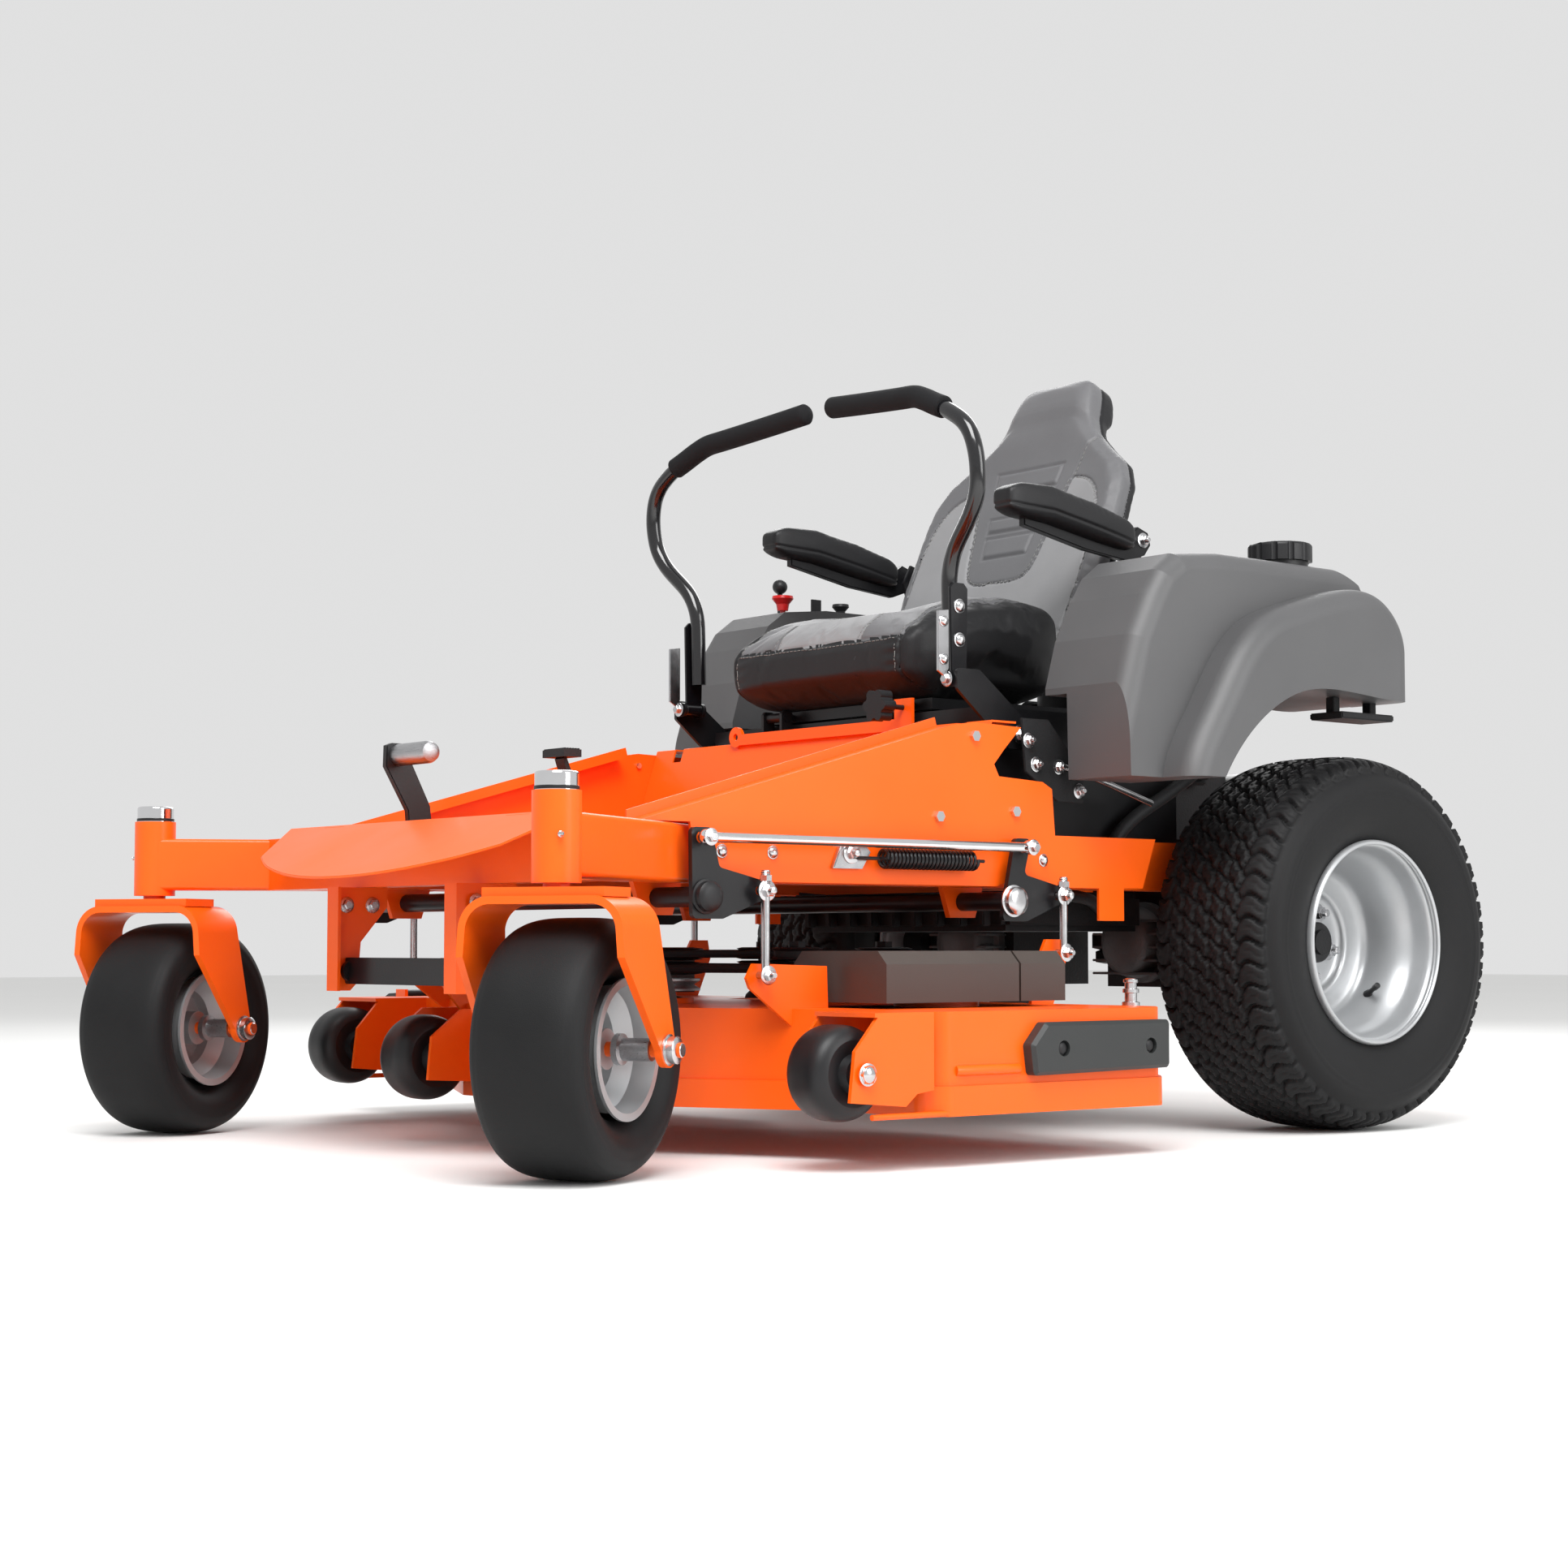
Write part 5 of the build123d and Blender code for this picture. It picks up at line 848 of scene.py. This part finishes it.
u, v, out = back_coords(machine(coords(back)))
flat = np.stack([u, v], axis=-1)
front_side = out > -14
slide = snap_to_lines(flat, lambda q: outline_distance(q, LIGHT_PANEL), front_side)
set_coords(back, coords(back) + (slide[:, :1] * BACK_ACROSS + slide[:, 1:] * BACK_UP) * MM)
u, v, out = back_coords(machine(coords(back)))
flat = np.stack([u, v], axis=-1)
depth = groove(outline_distance(flat, LIGHT_PANEL), 3.0, 2.6)
folded = np.stack([np.abs(u), v], axis=-1)
depth += groove(line_distance(folded, CENTRE_SEAM), 3.0, 2.6)
for pad in PADS:
    gap = outline_distance(flat, pad)
    depth += groove(gap, 2.6, 2.6) + 2.2 * (1 - smoothstep(-7, -2, gap))
depth = np.where(front_side, depth, 0)
# seam round the rim, where the dark back shell starts
depth += groove(out + 30, 2.6, 2.4) * (v > -60)
press(back, depth)


def back_paint(c, facing):
    u, v, out = back_coords(c)
    inside = outline_distance(np.stack([u, v], axis=-1), LIGHT_PANEL) < 0
    return np.where(out < -30, 2, np.where(inside & (out > -16), 1, 0))


paint(back, back_paint)
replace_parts(back, "seat_back")
lines = []
for s in (-1, 1):
    mirror_line = np.array([s, 1.0])
    for path, inset in ((light_side, -5.0), (tongue_side, -5.0), (CENTRE_SEAM, 5.0)):
        moved = (path + np.array([inset, 0])) * mirror_line
        lines.append([tuple(q) for q in on_back(moved[:, 0], moved[:, 1], np.zeros(len(moved)))])
stitches("back_stitches", back, lines, "seat")
# bolts and brackets that carry the armrests
ARM_X, ARM_PIVOT = 292.0, (-196.0, 964.0)
brackets = Kit("armrest_brackets", "black", "seat", "black_paint")
arm_bolts = Kit("armrest_bolts", "zinc", "seat", "zinc")
for s in (-1, 1):
    brackets.prism((s * 236, *ARM_PIVOT), (s, 0, 0), 8, 52, 28)
    brackets.plate([(s * 262, -206, 984), (s * 262, -176, 976), (s * 262, -150, 880), (s * 262, -196, 862),
                    (s * 262, -224, 950)], 0, (s, 0, 0), 6)
    brackets.box((s * 200, -200, 868), (s * 262, -160, 892), 3)
    arm_bolts.bolt((s * 298, *ARM_PIVOT), (s, 0, 0), across=8.5, head=8, stud=4)
brackets.done()
arm_bolts.done()

# ---------------------------------------------------------------- armrests
ARM_TOP = [(-516, 1020), (-490, 1028), (-420, 1029), (-330, 1014), (-250, 994), (-226, 984)]
ARM_LOW = [(-516, 982), (-490, 975), (-420, 970), (-330, 955), (-250, 943), (-226, 941)]
ARM_PART = 0.3                                      # height of the parting groove, share of the pad's depth


def arm_shape(sign):
    def shape(unit):
        a, b, c = unit.T
        y = -371 + b * 145
        top, low = np.interp(y, *np.array(ARM_TOP).T), np.interp(y, *np.array(ARM_LOW).T)
        low = low + 5 * np.abs(a) ** 3 * (c < 0)
        return np.stack([sign * (ARM_X + a * 26), y, (low + top) / 2 + c * (top - low) / 2], axis=-1)
    return shape


for side, s in (("left", 1), ("right", -1)):
    body = f"armrest_{side}"
    pad = pillow(f"armrest_pad_{side}", arm_shape(s), "skin", body, across=26, squareness=8.0)
    puff(pad, voxel=0.004, cap=0.003)
    subdivide(pad)
    p = machine(coords(pad))
    top, low = np.interp(p[:, 1], *np.array(ARM_TOP).T), np.interp(p[:, 1], *np.array(ARM_LOW).T)
    press(pad, groove(p[:, 2] - (low + (top - low) * ARM_PART), 2.6, 2.0))
    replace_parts(pad, f"armrest_{side}")
    bar = Kit(f"armrest_bar_{side}", "black", body, "black_paint")
    bar.plate([(s * (ARM_X - 8), -470, 962), (s * (ARM_X - 8), -330, 936), (s * (ARM_X - 8), -230, 926),
               (s * (ARM_X - 8), -190, 940), (s * (ARM_X - 8), -176, 958), (s * (ARM_X - 8), -182, 978),
               (s * (ARM_X - 8), -206, 986), (s * (ARM_X - 8), -240, 962), (s * (ARM_X - 8), -470, 980)],
              0, (s, 0, 0), 14, bevel=2.0)
    bar.done()

# ---------------------------------------------------------------- foam grips


def grip_points(sign):
    """A foam sleeve round the lever's upper end, a little fuller at its ends."""
    path = smooth_line([(341, -683.4, 1116.8), (318, -680.5, 1126), (288, -676.2, 1139),
                        (262, -672.3, 1147.5), (225, -668, 1151), (170, -661.5, 1156), (100, -653, 1162.8),
                        (28, -644.6, 1170.2)], 90)
    run = np.linspace(0, 1, len(path))
    radius = 17.6 * (1 - np.clip((0.02 - run) / 0.02, 0, 1) ** 2 * 0.16)
    radius *= 1 - np.clip((run - 0.975) / 0.025, 0, 1) ** 2.6 * 0.9
    path[:, 0] *= sign
    tangent = np.gradient(path, axis=0)
    tangent /= np.linalg.norm(tangent, axis=1)[:, None]
    side = np.cross(tangent, [0, 1.0, 0])
    side /= np.linalg.norm(side, axis=1)[:, None]
    other = np.cross(tangent, side)
    turn = np.linspace(0, 2 * pi, 40, endpoint=False)
    ring = np.cos(turn)[None, :, None] * side[:, None, :] + np.sin(turn)[None, :, None] * other[:, None, :]
    return path[:, None, :] + ring * radius[:, None, None]


for side, s in (("left", 1), ("right", -1)):
    points = grip_points(s)
    grid = (points * MM) + np.array([MID_X, AXLE_Y, 0])
    grip = grid_object(f"foam_grip_{side}", grid, "foam", f"lever_{side}", wrap_u=False, sharp=0)
    bm = bmesh.new()
    bm.from_mesh(grip.data)
    bmesh.ops.holes_fill(bm, edges=[e for e in bm.edges if e.is_boundary])
    bmesh.ops.recalc_face_normals(bm, faces=bm.faces[:])
    bm.to_mesh(grip.data)
    bm.free()
    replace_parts(grip, f"lever_grip_{side}")

# ---------------------------------------------------------------- control levers
SIDES = (("left", 1), ("right", -1))


def eased(points, cut, steps=9):
    """A line of corner points with each corner rounded off."""
    corners = [Vector(p) for p in points]
    out = [corners[0]]
    for a, b, c in zip(corners, corners[1:], corners[2:]):
        reach_a, reach_c = min(cut, (a - b).length * 0.48), min(cut, (c - b).length * 0.48)
        start, end = b + (a - b).normalized() * reach_a, b + (c - b).normalized() * reach_c
        for k in range(steps + 1):
            t = k / steps
            out.append(start * (1 - t) ** 2 + b * 2 * t * (1 - t) + end * t * t)
    out.append(corners[-1])
    return [tuple(p) for p in out]


LEVER_LINE = [(317, -649, 742), (317, -653, 886), (402, -672, 965), (412, -680, 1028), (396, -684, 1082),
              (345, -684, 1115), (269, -673, 1147), (60, -648.5, 1167)]
for side, s in SIDES:
    tube = Kit(f"lever_tube_{side}", "gloss_black", f"lever_{side}", "lever_gloss")
    tube.rod(eased([(s * x, y, z) for x, y, z in LEVER_LINE], 46), 12.5, 32)
    tube.plate([(s * 330, -665, 702), (s * 330, -668, 842), (s * 330, -660, 850), (s * 330, -638, 850),
                (s * 330, -630, 842), (s * 330, -633, 702)], 0, (s, 0, 0), 6, bevel=1.2)
    tube.lathe((s * 338, -665, 700), (0, 1, 0), [(0, 10), (1, 11), (31, 11), (32, 10)], 32)
    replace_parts(tube.done(), f"control_lever_{side}")
    bright = Kit(f"lever_bolts_{side}", "zinc", f"lever_{side}", "zinc")
    for z in (762, 814):
        bright.bolt((s * 336, -649, z), (s, 0, 0), across=7.5, head=7, dome=True)
    bright.plate([(s * 336, -697, 803), (s * 336, -675, 806), (s * 336, -675, 716), (s * 336, -684, 704),
                  (s * 336, -697, 712)], 0, (s, 0, 0), 5, bevel=0.8)
    for z in (730, 788):
        bright.bolt((s * 341, -686, z), (s, 0, 0), across=6, head=5, dome=True)
    bright.done()
    pivots = Kit(f"lever_pivot_bolts_{side}", "zinc", f"lever_base_{side}", "zinc")
    pivots.bolt((s * 361, -545, 620), (s, 0, 0), across=10, head=8, stud=5)
    pivots.bolt((s * 338, -676, 700), (0, -1, 0), across=8, head=7)
    pivots.done()

# ---------------------------------------------------------------- nose plate
nose = Kit("nose_sheet", "orange", "chassis", "frame_paint")
NOSE_SLOPE = 0.553
nose_front = smooth_line([(-330, -1478), (-250, -1510), (-130, -1537), (0, -1546), (130, -1537), (250, -1510),
                          (330, -1478)], 41)
nose_line = [(-393, -1392)] + [tuple(p) for p in nose_front] + [(393, -1392)]
nose.plate([(x, y, 473 + (y + 1392) * NOSE_SLOPE) for x, y in nose_line], 0, (0, 0, 1), 4, bevel=1.2)
for x in (-250, 250):
    nose.box((x - 30, -1399, 461), (x + 30, -1389, 474), 1)
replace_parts(nose.done(), "nose_plate")

# ---------------------------------------------------------------- casters
YAW = radians(CASTER_YAW)
for side, s in SIDES:
    hub = machine(np.array([centre(f"front_tyre_{side}")]))[0]
    nuts = Kit(f"caster_nuts_{side}", "zinc", f"caster_{side}", "zinc")
    sleeve = Kit(f"caster_sleeves_{side}", "steel", f"caster_{side}", "zinc")
    for end in (-1, 1):
        axis = (end * cos(YAW), end * sin(YAW), 0)
        along = lambda d: (hub[0] + axis[0] * d, hub[1] + axis[1] * d, hub[2])
        nuts.lathe(along(125), axis,
                   [(0, 20), (2.2, 20), (3, 17.4), (12.6, 17.4), (14.4, 15), (15, 9), (19, 9), (20, 8)], 36)
        sleeve.lathe(along(54), axis, [(0, 20), (8, 20), (10, 14.5), (49, 14.5)], 36)
    nuts.done()
    sleeve.done()
caps = Kit("kingpin_bands", "black_plastic", "chassis", "black_plastic")
for side, s in SIDES:
    caps.lathe((s * 554.6, -1542.2, 489), (0, 0, 1), [(0, 28.7), (4, 28.7), (4.5, 28)], 40)
caps.done()
nipples = Kit("kingpin_grease_nipples", "zinc", "chassis", "zinc")
for side, s in SIDES:
    nipples.lathe((s * (554.6 + 0.9 * 34), -1542.2 - 0.436 * 34, 432), (s * 0.9, -0.436, 0),
                  [(-6, 4), (2, 4), (3, 2.6), (7, 2.6), (8, 3.4), (10, 2)], 16)
nipples.done()

# ---------------------------------------------------------------- link brackets and pedals
fittings = Kit("bracket_bolts", "zinc", "chassis", "zinc")
for side, s in SIDES:
    for y, z in ((-1420, 355), (-1376, 355), (-1413, 257)):
        fittings.bolt((s * 182.2, y, z), (s, 0, 0), across=8, head=6)
        fittings.bolt((s * 171.8, y, z), (-s, 0, 0), across=8, head=6)
    ring = [(s * (196 + 2 * sin(a)), -1413 + 11 * cos(a), 252 + 11 * sin(a))
            for a in np.linspace(0, 2 * pi, 25)[:-1]]
    fittings.rod(ring, 1.5, 8, closed=True)
    # pivot bolts behind the control levers, and nuts along the foot of the side panels
    fittings.bolt((s * 350, -501, 616), (s, 0, 0), across=9, head=8, stud=4)
    for y, z in ((-1180, 424), (-1090, 424), (-560, 424)):
        fittings.bolt((s * 425, y, z), (s, 0, 0), across=6.5, head=5, dome=True)
fittings.done()
tie = Kit("link_tie_bar", "black", "chassis", "black_paint")
tie.box((-171, -1422, 238), (171, -1412, 277), 1.2)
tie.done()

arm = Kit("lift_pedal_arm", "black", "lift_pedal", "black_paint")
arm.plate([(-206, -1293, 406), (-206, -1302, 500), (-206, -1341, 566), (-206, -1340, 598), (-206, -1330, 602),
           (-206, -1302, 602), (-206, -1296, 594), (-206, -1296, 574), (-206, -1262, 508), (-206, -1254, 440),
           (-206, -1254, 406), (-206, -1262, 400), (-206, -1284, 400)], 0, (1, 0, 0), 12, bevel=1.6)
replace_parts(arm.done(), "lift_pedal")
peg = Kit("lift_pedal_peg", "steel", "lift_pedal", "zinc")
peg.lathe((-195, -1318, 584), (1, 0, 0), [(0, 17), (84, 17), (92, 14.5), (94, 9)], 40)
peg.done()
pad = Kit("brake_pad_rubber", "black_plastic", "brake", "black_plastic")
for k in range(6):
    pad.box((-228, -1031 + k * 5.2, 605), (-168, -1028 + k * 5.2, 608), 0.7)
pad.done()

# ---------------------------------------------------------------- lift linkage
CRANK_X, CRANK_Z, ROD_Z, CRANK_ARM = 440.0, 361.0, 441.0, 93.0
for node, y, look, slot in (("lift_front", -1222.0, "black_plastic", "black_plastic"),
                            ("lift_rear", -643.0, "zinc", "zinc")):
    hub = Kit(f"{node}_hub_bolts", look, node, slot)
    for side, s in SIDES:
        hub.lathe((s * (CRANK_X + 4.2), y, CRANK_Z), (s, 0, 0),
                  [(0, 24), (2.5, 24), (3.5, 20.8), (12, 20.6), (15, 17), (16.5, 9)], 40)
    hub.done()
tips = Kit("hanger_nuts", "zinc", "deck", "zinc")
ends = Kit("push_rod_nuts", "zinc", "push_rods", "zinc")
for side, s in SIDES:
    for y in (-1222.0, -643.0):
        tips.bolt((s * 460.5, y + CRANK_ARM, CRANK_Z + 9), (s, 0, 0), across=10, head=9, stud=5)
        tips.prism((s * 458, y + CRANK_ARM, CRANK_Z + 22), (0, 0, 1), 9, 8, 6)
        turns = [(k * 1.5, 6.2 if k % 2 else 6.9) for k in range(18)]
        tips.lathe((s * 458, y + CRANK_ARM, 371), (0, 0, 1), turns, 20)
    for y in (-1230.0, -621.0):
        ends.bolt((s * 466, y, ROD_Z), (s, 0, 0), across=8, head=7)
tips.done()
ends.done()
COIL_X, COIL_Z, COIL_R, COIL_LENGTH, COIL_TURNS = 441.5, 419.0, 12.6, 178.0, 24
coil = Kit("lift_spring_coils", "black", "chassis", "black_paint")
clamp = Kit("spring_anchors", "zinc", "chassis", "zinc")
for side, s in SIDES:
    helix = [(s * (COIL_X + COIL_R * cos(a)), -900 + COIL_LENGTH * a / (2 * pi * COIL_TURNS),
              COIL_Z + COIL_R * sin(a))
             for a in np.linspace(0, 2 * pi * COIL_TURNS, COIL_TURNS * 14)]
    coil.rod([(s * COIL_X, -948, COIL_Z), (s * COIL_X, -906, COIL_Z)] + helix
             + [(s * COIL_X, -718, COIL_Z), (s * COIL_X, -700, COIL_Z)], 2.7, 8)
    clamp.plate([(s * 425, -985, 404), (s * 425, -967, 446), (s * 425, -932, 446), (s * 425, -914, 428),
                 (s * 425, -930, 404)], 0, (s, 0, 0), 8, bevel=1.5)
    clamp.bolt((s * 433, -952, 426), (s, 0, 0), across=10, head=8, stud=5)
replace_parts(coil.done(), "lift_springs")
clamp.done()

# ---------------------------------------------------------------- drive under the chassis
def belt(kit, wheels, z):
    """A belt pulled round the outside of its pulleys: (x, y, radius) each."""
    ring = [(x + r * cos(a), y + r * sin(a)) for x, y, r in wheels for a in np.linspace(0, 2 * pi, 41)[:-1]]
    order = convex_hull_2d([Vector(p) for p in ring])
    kit.rod([(*ring[k], z) for k in order], 6, 8, closed=True)


GROOVED = [(0, 0.8), (2, 1.0), (6, 0.86), (14, 0.86), (18, 1.0), (20, 0.8)]
pulleys = Kit("deck_pulleys", "dark", "deck", "casting")
belts = Kit("deck_belts", "belt", "deck", "tyre")
DECK_WHEELS = [(-445, -800, 62), (445, -800, 62), (0, -980, 76)]
DRIVE_WHEELS = [(0, -980, 76), (150, -640, 46), (-150, -640, 46)]
for x, y, r in DECK_WHEELS[2:] + DRIVE_WHEELS[1:] + [(210, -868, 40)]:
    for lift in (250, 272):
        pulleys.lathe((x, y, lift), (0, 0, 1), [(h, f * r) for h, f in GROOVED], 40)
    pulleys.lathe((x, y, 208), (0, 0, 1), [(0, r * 0.7), (6, r * 0.66), (12, 24), (42, 24)], 32)
    pulleys.prism((x, y, 292), (0, 0, 1), 14, 9, 6)
belt(belts, DECK_WHEELS, 260)
belt(belts, DRIVE_WHEELS, 282)
pulleys.done()
belts.done()
under = Kit("engine_underside", "dark", "chassis", "casting")
under.box((-250, -470, 318), (250, -150, 382), 10)
for k in range(9):
    under.box((-230 + k * 54, -486, 326), (-216 + k * 54, -468, 376), 2)
under.lathe((0, 90, 262), (0, 0, 1), [(0, 50), (3, 66), (22, 66), (25, 58), (28, 72), (52, 72), (56, 50)], 48)
lever_links = Kit("lever_link_bolts", "zinc", "chassis", "zinc")
for side, s in SIDES:
    # damper plate and its bolts behind each control lever
    under.plate([(s * 394, -578, 642), (s * 394, -520, 642), (s * 394, -444, 566), (s * 394, -444, 516),
                 (s * 394, -500, 516), (s * 394, -570, 560)], 0, (s, 0, 0), 5, bevel=1)
    for y, z in ((-564, 608), (-548, 572), (-499, 570), (-455, 534)):
        lever_links.bolt((s * 399, y, z), (s, 0, 0), across=8, head=7, stud=4)
    lever_links.rod([(s * 408, -499, 570), (s * 408, -430, 556), (s * 408, -300, 520)], 5, 12)
lever_links.done()
castings = Kit("transaxle_castings", "cast", "chassis", "casting")
for side, s in SIDES:
    castings.lathe((s * 205, -94, 300), (0, -1, 0),
                   [(0, 68), (16, 68), (22, 60), (52, 56), (64, 44), (70, 18)], 40)
    castings.lathe((s * 264, -52, 330), (s, 0, 0), [(0, 26), (20, 26), (24, 20), (38, 20), (40, 16)], 32)
    for k in range(5):
        castings.box((s * 205 - 74, -150, 246 + k * 22), (s * 205 + 74, -96, 250 + k * 22), 1)
    castings.plate([(s * 304, -62, 344), (s * 304, -40, 344), (s * 304, -34, 268), (s * 304, -52, 250),
                    (s * 304, -66, 262)], 0, (s, 0, 0), 6, bevel=1)
    # two hoses a side
    suction = [(s * 150, -150, 330), (s * 230, -230, 350), (s * 300, -330, 372), (s * 300, -440, 378)]
    supply = [(s * 360, -20, 660), (s * 372, -180, 560), (s * 360, -330, 480), (s * 350, -350, 400)]
    under.rod(eased(suction, 50), 10, 14)
    under.rod(eased(supply, 70), 11, 14)
    # straps that hold the tank's rear to the guard
    under.box((s * 573 - 33, -70, 656), (s * 573 + 33, 62, 667), 2)
    for y in (-52, 40):
        under.box((s * 573 - 8, y - 8, 660), (s * 573 + 8, y + 8, 692), 1)
under.done()
castings.done()

# ---------------------------------------------------------------- deck fittings
fit = Kit("deck_fittings", "zinc", "deck", "zinc")
# wash port
fit.lathe((600, -556, 207), (0, 0, 1), [(0, 13), (5, 13), (6, 9), (18, 9), (19, 12), (24, 12), (25, 9),
                                        (33, 9), (34, 11), (38, 11), (40, 7)], 28)
for side, s in SIDES:
    fit.bolt((s * 694.5, -1151, 128), (s, 0, 0), across=10, head=6, dome=True)
    for y, z in ((-1222 + CRANK_ARM, 254), (-643 + CRANK_ARM, 284)):
        fit.bolt((s * 464, y, z), (s, 0, 0), across=9, head=8, stud=4)
fit.done()
ridge = Kit("deck_ridges", "orange", "deck", "frame_paint")
for side, s in SIDES:
    ridge.rod([(s * 688, -990, 128), (s * 690, -978, 128), (s * 690, -886, 128), (s * 688, -874, 128)], 7, 18)
    ridge.rod([(s * 690, y, 72) for y in (-1140, -1000, -800, -594)], 4, 12)
ridge.done()
recess = Kit("bumper_bolts", "black_plastic", "deck", "black_plastic")
for y in (-806, -632):
    recess.lathe((702.5, y, 154), (1, 0, 0), [(0, 8), (4, 8), (5.5, 5.5)], 24)
recess.done()

# ---------------------------------------------------------------- stage, light and camera
floor_mat = surface("studio_floor", (0.82, 0.82, 0.81), 0.8, grain=(30, 0.0001), mottle=(0.6, 0.01))
bpy.ops.mesh.primitive_plane_add(size=40, location=(0, 0, -0.001))
floor = bpy.context.object
floor.name = "studio_floor"
floor.data.materials.append(floor_mat)

world = bpy.data.worlds.new("studio")
bpy.context.scene.world = world
world.use_nodes = True
world.node_tree.nodes["Background"].inputs["Color"].default_value = (1.0, 1.0, 1.0, 1)
world.node_tree.nodes["Background"].inputs["Strength"].default_value = 0.75


def area_light(name, place, target, size, power):
    lamp = bpy.data.lights.new(name, "AREA")
    lamp.shape = "RECTANGLE"
    lamp.size, lamp.size_y = size
    lamp.energy = power
    holder = bpy.data.objects.new(name, lamp)
    bpy.context.scene.collection.objects.link(holder)
    holder.location = place
    holder.rotation_euler = (Vector(target) - Vector(place)).to_track_quat("-Z", "Y").to_euler()


area_light("key", (2.8, -2.2, 4.6), (0, 0, 0.6), (3.0, 3.0), 340)
area_light("side", (4.6, 1.2, 1.9), (0.4, 0, 0.5), (2.4, 2.4), 90)
area_light("back", (-3.0, 3.2, 3.4), (0, 0, 0.7), (3.0, 3.0), 120)

CAMERA_PLACE = at(3271, -3407, 295)
CAMERA_AZIMUTH, CAMERA_PITCH, CAMERA_LENS = 50.6, 3.5, 60.56
# base colours are shown as they are, without a film curve
bpy.context.scene.view_settings.view_transform = "Standard"
camera = bpy.data.objects.new("camera", bpy.data.cameras.new("camera"))
camera.data.lens = CAMERA_LENS
camera.data.sensor_width = 36
camera.location = CAMERA_PLACE
camera.rotation_euler = (radians(90 + CAMERA_PITCH), 0, radians(CAMERA_AZIMUTH))
bpy.context.scene.collection.objects.link(camera)
bpy.context.scene.camera = camera
